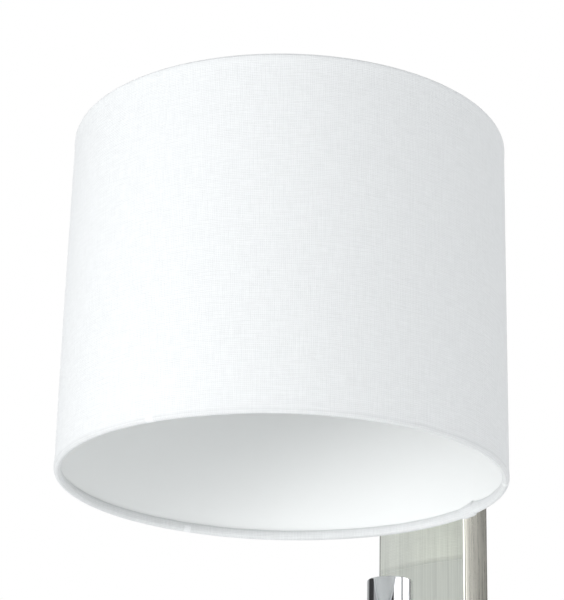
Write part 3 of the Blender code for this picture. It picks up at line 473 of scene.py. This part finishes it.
def make_looks():
    """One material for each slot of the record."""
    made = [
        linen(), laminate(), polished_steel(), satin_nickel(), opal(), clear_acrylic(),
        metal("chrome", (0.80, 0.81, 0.82), 0.045, 0.02, (110, 110, 110), 0.000004),
        metal("nickel_cap", (0.66, 0.65, 0.62), 0.18, 0.05, (300, 300, 300)),
        metal("zinc_steel", (0.52, 0.53, 0.55), 0.36, 0.08, (80, 600, 80), 0.00001, 0.07),
        metal("brass", (0.72, 0.55, 0.25), 0.27, 0.07, (260, 260, 260), 0.00001, 0.06),
        metal("bare_aluminium", (0.70, 0.71, 0.72), 0.30, 0.05, (60, 60, 2500)),
        plastic("white_wire", (0.82, 0.82, 0.80), 0.32, 0.08, 500, 0.00006),
        plastic("white_plastic", (0.83, 0.83, 0.81), 0.38),
        plastic("black_rubber", (0.028, 0.028, 0.028), 0.72, 0.08, 1200, 0.00006, 0.2),
        plastic("black_plastic", (0.035, 0.035, 0.036), 0.45, 0.08, 1400, 0.00003, 0.15),
        plastic("cable_sleeve", (0.78, 0.78, 0.76), 0.5, 0.07, 700, 0.00003),
        plastic("phosphor", (0.90, 0.74, 0.22), 0.5, 0.05, 2500, 0.00003, 0.06),
    ]
    return {look.name: look.material for look in made}


looks = make_looks()


def settle(piece, body, nodes, slot):
    """Material, body, record slot and the CAD nodes that the piece stands for."""
    piece.data.materials.clear()
    piece.data.materials.append(looks[slot])
    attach(piece, body)
    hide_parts(*nodes)
    return piece


# ---------------------------------------------------------------- shade
def past_seam(angle):
    """Distance past the seam round the shade, in metres, from -half to +half a turn."""
    turn = (angle - SEAM_ANGLE + math.pi) % math.tau - math.pi
    return turn * SHADE_RADIUS


def lap_at(angle):
    """1 where two layers of cloth lie over each other, with one crisp edge and one soft one."""
    along = past_seam(angle)
    if along < 0:
        return 0.0
    return max(0.0, min(1.0, 1 - (along - LAP_WIDTH) / LAP_FADE))


def uneven(angle, z):
    """Slight unroundness that the cloth and its lining share."""
    where = Vector((1.3 * math.cos(angle), 1.3 * math.sin(angle), 9 * z))
    return UNROUND * noise.noise(where)


def in_notch(angle):
    turns = [(angle - centre + math.pi) % math.tau - math.pi for centre in CARRIER_ANGLES]
    return min(abs(turn) for turn in turns) < NOTCH_HALF


def shade_angles():
    """Angles round the shade, closer together at the seam and at the notches."""
    made = {round(math.tau * k / 180, 6) for k in range(180)}
    seam = [-0.0085 + 0.0007 * k for k in range(34)] + [-0.00035 * k for k in range(9)]
    made |= {round((SEAM_ANGLE + along / SHADE_RADIUS) % math.tau, 6) for along in seam}
    for centre in CARRIER_ANGLES:
        for turn in (-1.3, -1.02, -0.98, 0, 0.98, 1.02, 1.3):
            made.add(round((centre + math.radians(turn)) % math.tau, 6))
    return sorted(made)


def cloth_line(angle):
    """The cloth's own line at an angle: top turn-in, top fold, wall, bottom fold, bottom turn-in."""
    near_seam = math.exp(-(past_seam(angle) / SEAM_REACH) ** 2)
    fray = FRAY * noise.noise(Vector((9 * math.cos(angle), 9 * math.sin(angle), 3)))
    wire = SHADE_RADIUS - WIRE_INSET
    hem_wall = wire + FOLD_RADIUS
    made = []
    for end in (1, -1):
        edge = TOP_Z if end > 0 else RIM_Z
        drop = 0.0 if end > 0 else LAP_STEP * lap_at(angle) + RIM_WAVE * noise.noise(
            Vector((2.2 * math.cos(angle), 2.2 * math.sin(angle), 7)))
        centre = edge - end * WIRE_INSET - drop

        def on_fold(around):
            return wire + FOLD_RADIUS * math.cos(around), centre + end * FOLD_RADIUS * math.sin(around)

        turned = []
        for k in range(FOLD_STEPS + 1):
            around = math.pi * k / FOLD_STEPS
            if end > 0 and in_notch(angle):
                around = min(around, NOTCH_STOP) + NOTCH_STEP * k
            turned.append(on_fold(around))
        for k in range(1, LEG_STEPS + 1):
            t = k / LEG_STEPS
            if end > 0 and in_notch(angle):
                turned.append(on_fold(NOTCH_STOP + NOTCH_STEP * (FOLD_STEPS + k)))
                continue
            reach = HEM_HEIGHT - WIRE_INSET + TURN_IN_TAIL + fray + SEAM_PULL * near_seam * (end < 0)
            lean = t ** 3 - 0.25 * near_seam * math.sin(math.pi * t) * (end < 0)
            turned.append((wire - FOLD_RADIUS + TURN_IN_LEAN * lean, centre - end * reach * t))
        if end > 0:
            made += turned[::-1]
        else:
            made += make_wall(hem_wall, made[-1][1], turned[0][1])[1:-1] + turned
    return made


def make_wall(radius, start, stop):
    """Wall between the hems, drawn in slightly just past each of them."""
    near_hem = [0, 0.0012, 0.0024, 0.0036, 0.0052, 0.009]
    rows, hem_end, draw_length = 12, 0.0008, 0.0036
    span = start - stop
    plain = span - 2 * near_hem[-1]
    levels = near_hem + [near_hem[-1] + plain * k / rows for k in range(1, rows)]
    levels += [span - height for height in near_hem[::-1]]
    made = []
    for level in levels:
        from_end = min(level, span - level)
        t = min(max((from_end - hem_end) / draw_length, 0), 1)
        drawn = t * t * (3 - 2 * t)
        made.append((radius - HEM_SWELL * drawn, start - level))
    return made


def close_round(name, sections, angles, marks, sharp):
    """Piece from closed (radius, z) sections round the shade, mapped in metres round it and by the marks."""
    shape = bmesh.new()
    uv = shape.loops.layers.uv.new("metres")
    columns = [[shape.verts.new(placed(SHADE_AXIS, "up", p[0], p[1], angle)) for p in section]
               for section, angle in zip(sections, angles)]
    count = len(columns[0])
    for j, near in enumerate(columns):
        ahead = (j + 1) % len(columns)
        far = columns[ahead]
        turn = angles[ahead] if ahead else math.tau
        for k in range(count):
            up = (k + 1) % count
            face = shape.faces.new((near[k], far[k], far[up], near[up]))
            corners = ((angles[j], marks[j][k]), (turn, marks[ahead][k]), (turn, marks[ahead][up]),
                       (angles[j], marks[j][up]))
            for loop, (around, along) in zip(face.loops, corners):
                loop[uv].uv = (around * SHADE_RADIUS, along)
    return new_piece(name, shape, sharp)


def make_cloth():
    """The shade's cover: one sheet of cloth with rolled hems round both wires and a lapped seam."""
    angles = shade_angles()
    sections, marks = [], []
    for angle in angles:
        line = [Vector(p) for p in cloth_line(angle)]
        outer, inner, lengths = [], [], [0.0]
        hem_start = len(line) - FOLD_STEPS - LEG_STEPS
        for k, point in enumerate(line):
            ahead = (line[min(k + 1, len(line) - 1)] - line[max(k - 1, 0)]).normalized()
            away = Vector((-ahead.y, ahead.x))
            if k:
                lengths.append(lengths[-1] + (point - line[k - 1]).length)
            along_hem = max(0, k - hem_start) / (FOLD_STEPS + LEG_STEPS)
            curl = LAP_CURL * math.sin(math.pi * along_hem) / SHADE_RADIUS
            extra = LAP_STEP * (1 + along_hem) * lap_at(angle + curl)
            r = point.x + uneven(angle, point.y)
            outer.append(Vector((r, point.y)) + away * (FABRIC / 2 + extra))
            inner.append(Vector((r, point.y)) - away * FABRIC / 2)
        sections.append(outer + inner[::-1])
        marks.append(lengths + lengths[::-1])
    return close_round("shade_cloth", sections, angles, marks, 60)


def make_lining():
    """Stiff laminate inside the cloth, with its own lap at the seam."""
    outer, inner = SHADE_RADIUS - LINING_OUT, SHADE_RADIUS - LINING_IN
    low, high = RIM_Z + LINING_SHORT, TOP_Z - LINING_SHORT
    rows = 16
    levels = [low + (high - low) * k / rows for k in range(rows + 1)]
    angles = shade_angles()
    sections = []
    for angle in angles:
        lapped = inner - LINING_LAP * lap_at(angle)
        section = [(outer + uneven(angle, z), z) for z in levels]
        sections.append(section + [(lapped + uneven(angle, z), z) for z in levels[::-1]])
    marks = [[0.01 * k for k in range(2 * len(levels))]] * len(angles)
    return close_round("shade_lining", sections, angles, marks, 50)


def hem_ring(shape, z, sides):
    """Adds the round wire inside one of the hems."""
    ring = [placed(SHADE_AXIS, "up", SHADE_RADIUS - WIRE_INSET, z, math.tau * k / RING_STEPS)
            for k in range(RING_STEPS)]
    sweep(shape, ring, WIRE_RADIUS, sides, closed=True)


def make_carrier():
    """Top ring, three bent arms with weld beads, and the hub washer that the lampholder clamps."""
    half_sheet, hub_bore, hub_edge = 0.0010, 0.0136, 0.0170
    arm, bend, hub_weld, knuckle = 0.0011, 0.006, 0.0153, 0.004
    rim_bead, hub_bead, bead_height, lift = 0.0015, 0.0017, 0.75, 0.0003
    hub_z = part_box("shade_carrier")[0].z + half_sheet
    ring_z = TOP_Z - WIRE_INSET
    shape = bmesh.new()
    hem_ring(shape, ring_z, 14)
    for angle in CARRIER_ANGLES:
        out = Vector((math.cos(angle), math.sin(angle), 0))
        rim_end = placed(SHADE_AXIS, "up", SHADE_RADIUS - WIRE_INSET, ring_z, angle)
        hub_end = placed(SHADE_AXIS, "up", hub_weld, hub_z + lift, angle)
        knee, lower_knee = rim_end - out * bend, hub_end + out * knuckle
        path = [rim_end, *corner_curve(rim_end, knee, lower_knee, bend, 8),
                *corner_curve(knee, lower_knee, hub_end, bend, 8), hub_end]
        sweep(shape, path, arm, 16)
        for point, bead in ((rim_end, rim_bead), (hub_end, hub_bead)):
            squashed = Matrix.Diagonal((bead, bead, bead * bead_height, 1))
            bmesh.ops.create_icosphere(shape, subdivisions=2, radius=1.0,
                                       matrix=Matrix.Translation(point) @ squashed)
    wires = new_piece("shade_carrier_wires", shape)
    washer = rounded([(hub_bore, half_sheet), (hub_edge, half_sheet), (hub_edge, -half_sheet),
                      (hub_bore, -half_sheet)], 0.0004)
    hub = lathe("carrier_hub", washer, (SHADE_AXIS.x, SHADE_AXIS.y, hub_z))
    merged = bmesh.new()
    for part in (wires, hub):
        merged.from_mesh(part.data)
        bpy.data.objects.remove(part, do_unlink=True)
    return new_piece("shade_frame", merged)


def make_hem_wire():
    shape = bmesh.new()
    hem_ring(shape, RIM_Z + WIRE_INSET, 12)
    return new_piece("hem_wire", shape)


def build_shade():
    cloth = settle(make_cloth(), "base", ["shade_cover"], "white_linen")
    settle(make_lining(), "base", ["shade_liner"], "shade_laminate")
    settle(make_carrier(), "base", ["shade_carrier"], "white_wire")
    settle(make_hem_wire(), "base", ["shade_ring_bottom"], "zinc_steel")


# ---------------------------------------------------------------- arm and lampholder
def build_arm():
    tube_low, tube_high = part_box("arm_tube")
    axis_z = tube_high.z - ARM_RADIUS
    bend_y = SHADE_AXIS.y + ARM_BEND
    straight_steps = 8
    path = [Vector((0, tube_high.y + (bend_y - tube_high.y) * k / straight_steps, axis_z))
            for k in range(straight_steps)]
    path += arc_points((0, bend_y, axis_z - ARM_BEND), ARM_BEND, 90, 180, 28)
    path.append(Vector((0, SHADE_AXIS.y, tube_low.z)))
    shape = bmesh.new()
    sweep(shape, path, ARM_RADIUS, 56, bore=ARM_BORE)
    settle(new_piece("arm_pipe", shape), "base", ["arm_tube"], "chrome")

    flange_low, flange_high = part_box("arm_flange")
    out, hole = (flange_high.x - flange_low.x) / 2, ARM_RADIUS + GAP
    back, front = -flange_high.y, -flange_low.y
    outline = [(hole, back), (out, back), (out, front - 0.0027), (out - 0.0012, front - 0.0010),
               (out - 0.0034, front), (hole, front)]
    flange = lathe("arm_rose", rounded(outline, 0.0012, 5), (0, 0, axis_z), "out")
    settle(flange, "base", ["arm_flange"], "chrome")


def thread(radius, along, angle, pitch, depth, low, high):
    """Radius of a rounded screw thread between two heights."""
    if not low < along < high:
        return radius
    turn = along / pitch - angle / math.tau
    fade = min(1.0, (along - low) / pitch, (high - along) / pitch)
    return radius - depth * fade * (0.5 - 0.5 * math.cos(math.tau * turn))


def with_levels(outline, radius, count):
    """Outline whose straight side at a radius is split into even levels, so a thread can shape it."""
    made = []
    for k, point in enumerate(outline):
        after = outline[(k + 1) % len(outline)]
        made.append(Vector(point))
        if max(abs(point[0] - radius), abs(after[0] - radius)) < TINY and abs(point[1] - after[1]) > 0.004:
            for j in range(1, count):
                made.append(Vector(point).lerp(Vector(after), j / count))
    return made


def build_holder():
    place = (SHADE_AXIS.x, SHADE_AXIS.y, 0)
    cap_low, cap_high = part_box("holder_cap")
    flange, bore, sheet = 0.0145, ARM_RADIUS + GAP, 0.0012
    top, foot = cap_high.z, cap_low.z
    collar = bore + 0.0027
    outline = [(bore, top), (collar, top), (collar, top - 0.003), (flange - 0.001, top - 0.0062),
               (flange, top - 0.009), (flange, foot), (flange - sheet, foot), (flange - sheet, top - 0.0094),
               (flange - 0.002, top - 0.0072), (bore, top - 0.0036)]
    settle(lathe("holder_top", rounded(outline, 0.0008, 4), place), "base", ["holder_cap"], "white_plastic")

    body_low, body_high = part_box("holder_body")
    body, well = 0.0132, 0.0105
    shoulder, mouth = body_high.z, body_low.z
    floor = shoulder - 0.010
    outline = [(0, shoulder), (flange, shoulder), (flange, shoulder - 0.004), (body, shoulder - 0.004),
               (body, mouth), (well, mouth), (well, floor), (0, floor)]
    outline = with_levels(rounded(outline, 0.0004, 3), body, 150)

    def threaded(radius, along, angle):
        if abs(radius - body) > TINY:
            return radius, along
        return thread(radius, along, angle, *HOLDER_THREAD, mouth + 0.001, shoulder - 0.012), along

    skirt = lathe("holder_skirt", outline, place, steps=72, shape_at=threaded)
    settle(skirt, "base", ["holder_body"], "white_plastic")

    ring_low, ring_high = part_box("shade_clamp_ring")
    outer, inner, flutes, flute_depth = 0.0195, body + GAP, 24, 0.0005
    outline = [(inner, ring_high.z), (outer, ring_high.z), (outer, ring_low.z), (inner, ring_low.z)]

    def fluted(radius, along, angle):
        if radius < outer - 0.001:
            return radius, along
        return radius - flute_depth * max(0.0, math.cos(flutes * angle)) ** 3, along

    ring = lathe("clamp_ring", rounded(outline, 0.0008, 4), place, steps=240, shape_at=fluted)
    settle(ring, "base", ["shade_clamp_ring"], "white_plastic")


def build_bulb():
    place = (SHADE_AXIS.x, SHADE_AXIS.y, 0)
    dome_low, dome_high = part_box("bulb_dome")
    body_low, body_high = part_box("bulb_body")
    cap_low, cap_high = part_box("bulb_cap")
    radius = 0.0225
    centre = dome_low.z + radius
    start = math.asin((dome_high.z - centre) / radius)
    outline = [(0, dome_high.z)]
    steps = 32
    for k in range(steps + 1):
        angle = start + (-math.pi / 2 - start) * k / steps
        outline.append((max(radius * math.cos(angle), 0), centre + radius * math.sin(angle)))
    outline[-1] = (0, dome_low.z)
    settle(lathe("bulb_globe", outline, place), "base", ["bulb_dome"], "opal")

    seat, neck = body_low.z, body_high.z
    seat_radius = math.sqrt(radius ** 2 - (seat - GAP - centre) ** 2)
    outline = [(0, neck), (0.0085, neck), (0.0090, neck - 0.006), (0.0135, seat + 0.0137),
               (0.0185, seat + 0.0057), (seat_radius, seat), (0, seat)]
    settle(lathe("bulb_collar", rounded(outline, 0.004, 6), place), "base", ["bulb_body"], "white_plastic")

    screw, foot, tip = 0.0069, cap_low.z, cap_high.z
    outline = [(0, tip), (0.0024, tip), (0.0030, tip - 0.0012), (screw, tip - 0.003), (screw, foot),
               (0, foot)]
    outline = with_levels(rounded(outline, 0.0006, 3), screw, 90)

    def screwed(r, along, angle):
        if abs(r - screw) > TINY:
            return r, along
        return thread(r, along, angle, *BULB_THREAD, foot + 0.0005, tip - 0.0035), along

    cap = lathe("bulb_screw", outline, place, steps=64, shape_at=screwed)
    settle(cap, "base", ["bulb_cap"], "nickel_cap")


# ---------------------------------------------------------------- reading light
def pin_bore(pivot, half_length):
    """Tool that drills the tilt pin's hole."""
    outline = [(0, -half_length), (PIN_HOLE, -half_length), (PIN_HOLE, half_length), (0, half_length)]
    return lathe("hole", outline, pivot, "side", 40)


def build_reader():
    stem_back = -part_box("reader_stem")[1].y
    bush_low, bush_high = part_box("reader_bush")
    cap_low, cap_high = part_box("reader_cap")
    bezel_low, bezel_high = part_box("reader_bezel")
    tube_low, tube_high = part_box("reader_tube")
    pivot = Vector((0, (cap_low.y + cap_high.y) / 2, (bush_low.z + bush_high.z) / 2))
    head = (cap_high.x - cap_low.x) / 2
    place = (0, 0, pivot.z)
    stem, spigot, neck = 0.004, 0.006, 0.006
    on_plate = 0.0263            # the plate's face and a gap, out from the wall
    flange, front = (bush_high.x - bush_low.x) / 2, -bush_low.y
    outline = [(stem + GAP, -bush_high.y), (spigot, -bush_high.y), (spigot, on_plate), (flange, on_plate),
               (flange, front - 0.0017), (flange - 0.0017, front), (stem + GAP, front)]
    settle(lathe("reader_rose", rounded(outline, 0.0007, 4), place, "out"), "base", ["reader_bush"], "chrome")

    neck_back = front + GAP
    tongue_back = 0.0345
    outline = [(0, stem_back), (stem, stem_back), (stem, neck_back), (neck, neck_back), (neck, tongue_back),
               (0, tongue_back)]
    spindle = lathe("reader_spindle", rounded(outline, 0.0005, 3), place, "out", 72)
    half, width = 0.005, 0.006
    corners = [(pivot.y - half * math.cos(math.radians(a)), pivot.z + half * math.sin(math.radians(a)))
               for a in range(-90, 91, 6)]
    corners += [(-tongue_back + 0.0008, pivot.z + half), (-tongue_back + 0.0008, pivot.z - half)]
    carve(spindle, prism("tongue", corners, width / 2), "UNION")
    carve(spindle, pin_bore(pivot, 0.01))
    ease(spindle, 0.00035, 3)
    settle(spindle, "reader_arm", ["reader_stem"], "chrome")

    top, foot = cap_high.z, tube_high.z + GAP
    inside = head - HEAD_WALL - GAP
    outline = [(0, top), (head, top), (head, foot), (inside, foot), (inside, cap_low.z), (0, cap_low.z)]
    cap = lathe("reader_top", rounded(outline, 0.0005, 4), (0, pivot.y, 0))
    side, reach = width / 2 + GAP, half + 0.0005
    corners = [(pivot.y + 2 * head, top + 0.002), (pivot.y - reach, top + 0.002)]
    corners += [(pivot.y - reach * math.cos(math.radians(a)), pivot.z - reach * math.sin(math.radians(a)))
                for a in range(0, 91, 10)]
    corners += [(pivot.y + 2 * head, pivot.z - reach)]
    carve(cap, prism("slot", corners, side))
    carve(cap, pin_bore(pivot, 0.02))
    ease(cap, 0.0003, 3)
    settle(cap, "reader_head", ["reader_cap"], "chrome")

    outline = [(0, -PIN_HALF), (PIN_RADIUS, -PIN_HALF), (PIN_RADIUS, PIN_HALF), (0, PIN_HALF)]
    pin = lathe("reader_pivot", rounded(outline, 0.0006, 4), pivot, "side", 40)
    settle(pin, "reader_head", ["reader_pin"], "zinc_steel")

    wall = head - HEAD_WALL
    outline = [(wall, tube_low.z), (head, tube_low.z), (head, tube_high.z), (wall, tube_high.z)]
    barrel = lathe("reader_barrel", rounded(outline, 0.00015, 2), (0, pivot.y, 0))
    settle(barrel, "reader_head", ["reader_tube"], "chrome")

    lens_low, lens_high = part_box("reader_lens")
    lip = 0.0076
    end, back = bezel_low.z, bezel_high.z
    outline = [(lip, end), (head, end), (head, tube_low.z - GAP), (inside, tube_low.z - GAP),
               (inside, back), (lip + 0.0006, back)]
    bezel = lathe("reader_lip", rounded(outline, 0.0007, 4), (0, pivot.y, 0))
    settle(bezel, "reader_head", ["reader_bezel"], "chrome")

    rings, groove = 7, 0.0002
    outline = [(0, lens_high.z), (0.0045, lens_high.z), (inside, lens_low.z + 0.0015), (inside, lens_low.z)]
    for k in range(1, rings):
        out = inside * (1 - k / rings)
        outline.append((out + 2 * groove, lens_low.z + groove))
        outline.append((out, lens_low.z))
    outline.append((0, lens_low.z))
    lens = lathe("reader_optic", outline, (0, pivot.y, 0), sharp=20)
    settle(lens, "reader_head", ["reader_lens"], "clear_acrylic")


def build_buttons():
    for name in ("main_switch", "reader_switch"):
        button_low, button_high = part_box(name + "_button")
        collar_low, collar_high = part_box(name + "_collar")
        z = (button_low.z + button_high.z) / 2
        radius = (button_high.x - button_low.x) / 2
        front, back = -button_low.y, -button_high.y
        plunger, shoulder = 0.002, 0.0194
        outline = [(0, back), (plunger, back), (plunger, shoulder), (radius, shoulder),
                   (radius, front - 0.0010), (radius - 0.0008, front - 0.0003), (radius - 0.0022, front),
                   (0.0022, front - 0.0001), (0, front - 0.0003)]
        button = lathe(name + "_cap", rounded(outline, 0.0006, 4), (0, 0, z), "out", 72)
        body = "main_button" if name == "main_switch" else "reader_button"
        settle(button, body, [name + "_button"], "chrome")
        out = (collar_high.x - collar_low.x) / 2
        inner = radius + 0.0004
        top, foot = -collar_low.y, -collar_high.y
        outline = [(inner, foot), (out, foot), (out, top - 0.0004), (out - 0.0008, top), (inner, top)]
        rim = lathe(name + "_rim", rounded(outline, 0.0005, 4), (0, 0, z), "out", 80)
        settle(rim, "base", [name + "_collar"], "chrome")


# ---------------------------------------------------------------- CAD pieces that stay
KEPT = {                # (slot, width of the eased edge): CAD nodes
    ("polished_steel", 0.0): ["front_plate"],
    ("satin_nickel", 0.0007): ["housing"],
    ("zinc_steel", 0.0003): ["wall_bracket"],
    ("zinc_steel", 0.0002): ["plate_nut_1", "plate_nut_2", "plate_nut_3", "plate_nut_4"],
    ("zinc_steel", 0.00015): ["housing_screw_top", "housing_screw_bottom", "arm_washer", "reader_washer",
                              "reader_clip"],
    ("brass", 0.0003): ["arm_nut", "reader_nut"],
    ("brass", 0.0002): ["terminal_screw_neutral", "terminal_screw_earth", "terminal_screw_live",
                        "earth_screw", "holder_contact"],
    ("brass", 0.0): ["holder_shell"],
    ("black_rubber", 0.0003): ["cable_grommet"],
    ("black_rubber", 0.0): ["plate_gasket"],
    ("white_plastic", 0.0003): ["led_driver"],
    ("white_plastic", 0.0002): ["terminal_block", "reader_led_board"],
    ("black_plastic", 0.0002): ["main_switch_body", "reader_switch_body"],
    ("black_plastic", 0.0): ["reader_lead", "main_switch_lead", "reader_switch_lead"],
    ("cable_sleeve", 0.0): ["holder_lead", "driver_lead"],
    ("bare_aluminium", 0.0002): ["reader_heat_sink"],
    ("phosphor", 0.0001): ["reader_led"],
}


def keep_mirror_flat(plate):
    """Plane faces stay truly plane and only the rounded edge is shaded smooth."""
    plate.modifiers.new("weld", "WELD").merge_threshold = TINY
    for face in plate.data.polygons:
        face.use_smooth = max(abs(c) for c in face.normal) < 0.9995


def finish_kept():
    """Materials and slots of the kept CAD pieces, with eased edges and round leads."""
    for (slot, edge), names in KEPT.items():
        for name in names:
            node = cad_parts[name]
            node.data.materials.clear()
            node.data.materials.append(looks[slot])
            if name.endswith("_lead"):
                node.modifiers.new("weld", "WELD").merge_threshold = TINY
                node.modifiers.new("round", "SUBSURF").render_levels = 2
                node.data.polygons.foreach_set("use_smooth", [True] * len(node.data.polygons))
            elif edge:
                ease(node, edge, 3 if edge > 0.0005 else 2, weld=True)
            elif name == "front_plate":
                keep_mirror_flat(node)


# ---------------------------------------------------------------- studio
def softbox(name, place, target, size, strength):
    """Large soft light of a given brightness, aimed at a point."""
    lamp = bpy.data.lights.new(name, "AREA")
    lamp.shape, lamp.size, lamp.size_y = "RECTANGLE", size[0], size[1]
    lamp.energy = strength * math.pi * size[0] * size[1]
    light = bpy.data.objects.new(name, lamp)
    light.location = place
    light.rotation_euler = (Vector(target) - Vector(place)).to_track_quat("-Z", "Y").to_euler()
    bpy.context.scene.collection.objects.link(light)
    return light


def rectangle(name, width, height, level=0.0):
    """Flat face about the origin, at a level."""
    shape = bmesh.new()
    shape.faces.new([shape.verts.new((width / 2 * x, height / 2 * y, level))
                     for x, y in ((-1, -1), (1, -1), (1, 1), (-1, 1))])
    return new_piece(name, shape)


def card(name, place, target, size, colour):
    """Matt card that only shows in reflections."""
    piece = rectangle(name, *size)
    piece.location = place
    piece.rotation_euler = (Vector(target) - Vector(place)).to_track_quat("-Z", "Y").to_euler()
    piece.data.materials.append(plastic(name, colour, 0.8).material)
    piece.visible_camera = False
    piece.visible_diffuse = False
    piece.visible_shadow = False


def from_lamp(around, above, distance):
    """Point seen from the shade at an angle from straight out of the wall towards +X, and an elevation."""
    a, e = math.radians(around), math.radians(above)
    return Vector((math.sin(a) * math.cos(e), -math.cos(a) * math.cos(e), math.sin(e))) * distance + AIM


def make_world():
    """Even pale light that the camera itself sees as plain white."""
    scene = bpy.context.scene
    world = bpy.data.worlds.new("studio")
    world.use_nodes = True
    scene.world = world
    nodes, links = world.node_tree.nodes, world.node_tree.links
    nodes.clear()
    path = nodes.new("ShaderNodeLightPath")
    seen, lit = nodes.new("ShaderNodeBackground"), nodes.new("ShaderNodeBackground")
    seen.inputs["Strength"].default_value = 1.0
    seen.inputs["Color"].default_value = (1, 1, 1, 1)
    lit.inputs["Color"].default_value = (0.97, 0.985, 1.0, 1)
    lit.inputs["Strength"].default_value = 0.41
    mix, out = nodes.new("ShaderNodeMixShader"), nodes.new("ShaderNodeOutputWorld")
    links.new(path.outputs["Is Camera Ray"], mix.inputs[0])
    links.new(lit.outputs[0], mix.inputs[1])
    links.new(seen.outputs[0], mix.inputs[2])
    links.new(mix.outputs[0], out.inputs["Surface"])


def make_studio():
    """Softboxes round the lamp, long gleams and dark cards for its metal, and a pale floor far below."""
    make_world()
    lights = {              # angle round the lamp, elevation, distance, size, brightness
        "key": (-30, -25, 2.0, 1.2, 2.9),
        "low_left": (-30, -14, 2.0, 0.8, 3.3),
        "low_front": (0, -9, 2.0, 0.8, 3.6),
        "front": (35, -12, 2.2, 1.2, 2.3),
        "right": (90, -50, 2.0, 1.2, 1.6),
        "under": (180, -45, 2.0, 1.2, 2.2),
        "behind_left": (-130, 10, 2.0, 1.2, 2.4),
        "behind_right": (118, 14, 2.0, 1.2, 1.7),
    }
    for name, (around, above, distance, size, strength) in lights.items():
        light = softbox(name, from_lamp(around, above, distance), AIM, (size, size), strength)
        light.visible_glossy = name != "behind_left"
    for name, around, width, strength in (("gleam", 72, 1.3, 1.5), ("side_gleam", 130, 0.9, 0.7)):
        gleam = softbox(name, from_lamp(around, 20, 2.0), AIM, (width, 1.6), strength)
        gleam.visible_diffuse = False
    card("dark_behind", (0.55, 1.6, 0.3), (0.55, 0, 0.3), (0.62, 3.0), DARK_CARD)
    card("dark_left", from_lamp(-84, 18, 1.9), AIM, (1.45, 1.8), DARK_CARD)
    card("dark_front", from_lamp(35, 22, 2.0), AIM, (0.9, 0.9), DARK_CARD)

    floor = rectangle("floor", 90.0, 90.0, -2.0)
    paint = plastic("floor_paint", (0.86, 0.86, 0.85), 0.7, 0.06, 60, 0.0004, 0.01)
    paint.setting("Emission Color", (1, 1, 1, 1))
    paint.setting("Emission Strength", 0.42)
    floor.data.materials.append(paint.material)
    floor.visible_diffuse = False
    bpy.context.scene.view_settings.view_transform = "Standard"


# ---------------------------------------------------------------- camera
def make_camera():
    """Camera at the viewing angle: from below, in front and to the right of the lamp."""
    around = math.radians(32.75)
    distance, below = 0.884338, 0.257077
    pitch, yaw, roll = 0.37046, -0.00198, -0.02502
    lens_pixels, picture_height, sensor = 2084.69, 600, 36

    def turned(v):
        return Vector((v[0] * math.cos(around) - v[1] * math.sin(around),
                       v[0] * math.sin(around) + v[1] * math.cos(around), v[2]))

    ahead = turned((math.sin(yaw) * math.cos(pitch), math.cos(yaw) * math.cos(pitch), math.sin(pitch)))
    right = turned((math.cos(yaw), -math.sin(yaw), 0))
    up = turned((-math.sin(yaw) * math.sin(pitch), -math.cos(yaw) * math.sin(pitch), math.cos(pitch)))
    right, up = (math.cos(roll) * right - math.sin(roll) * up, math.sin(roll) * right + math.cos(roll) * up)
    data = bpy.data.cameras.new("camera")
    data.sensor_width = sensor
    data.lens = lens_pixels * sensor / picture_height
    data.clip_start, data.clip_end = 0.02, 150
    camera = bpy.data.objects.new("camera", data)
    camera.matrix_world = Matrix((
        (right.x, up.x, -ahead.x, SHADE_AXIS.x + distance * math.sin(around)),
        (right.y, up.y, -ahead.y, SHADE_AXIS.y - distance * math.cos(around)),
        (right.z, up.z, -ahead.z, RIM_Z - below),
        (0, 0, 0, 1)))
    bpy.context.scene.collection.objects.link(camera)
    bpy.context.scene.camera = camera


build_shade()
build_arm()
build_holder()
build_bulb()
build_reader()
build_buttons()
finish_kept()
make_studio()
make_camera()

bpy.context.view_layer.update()
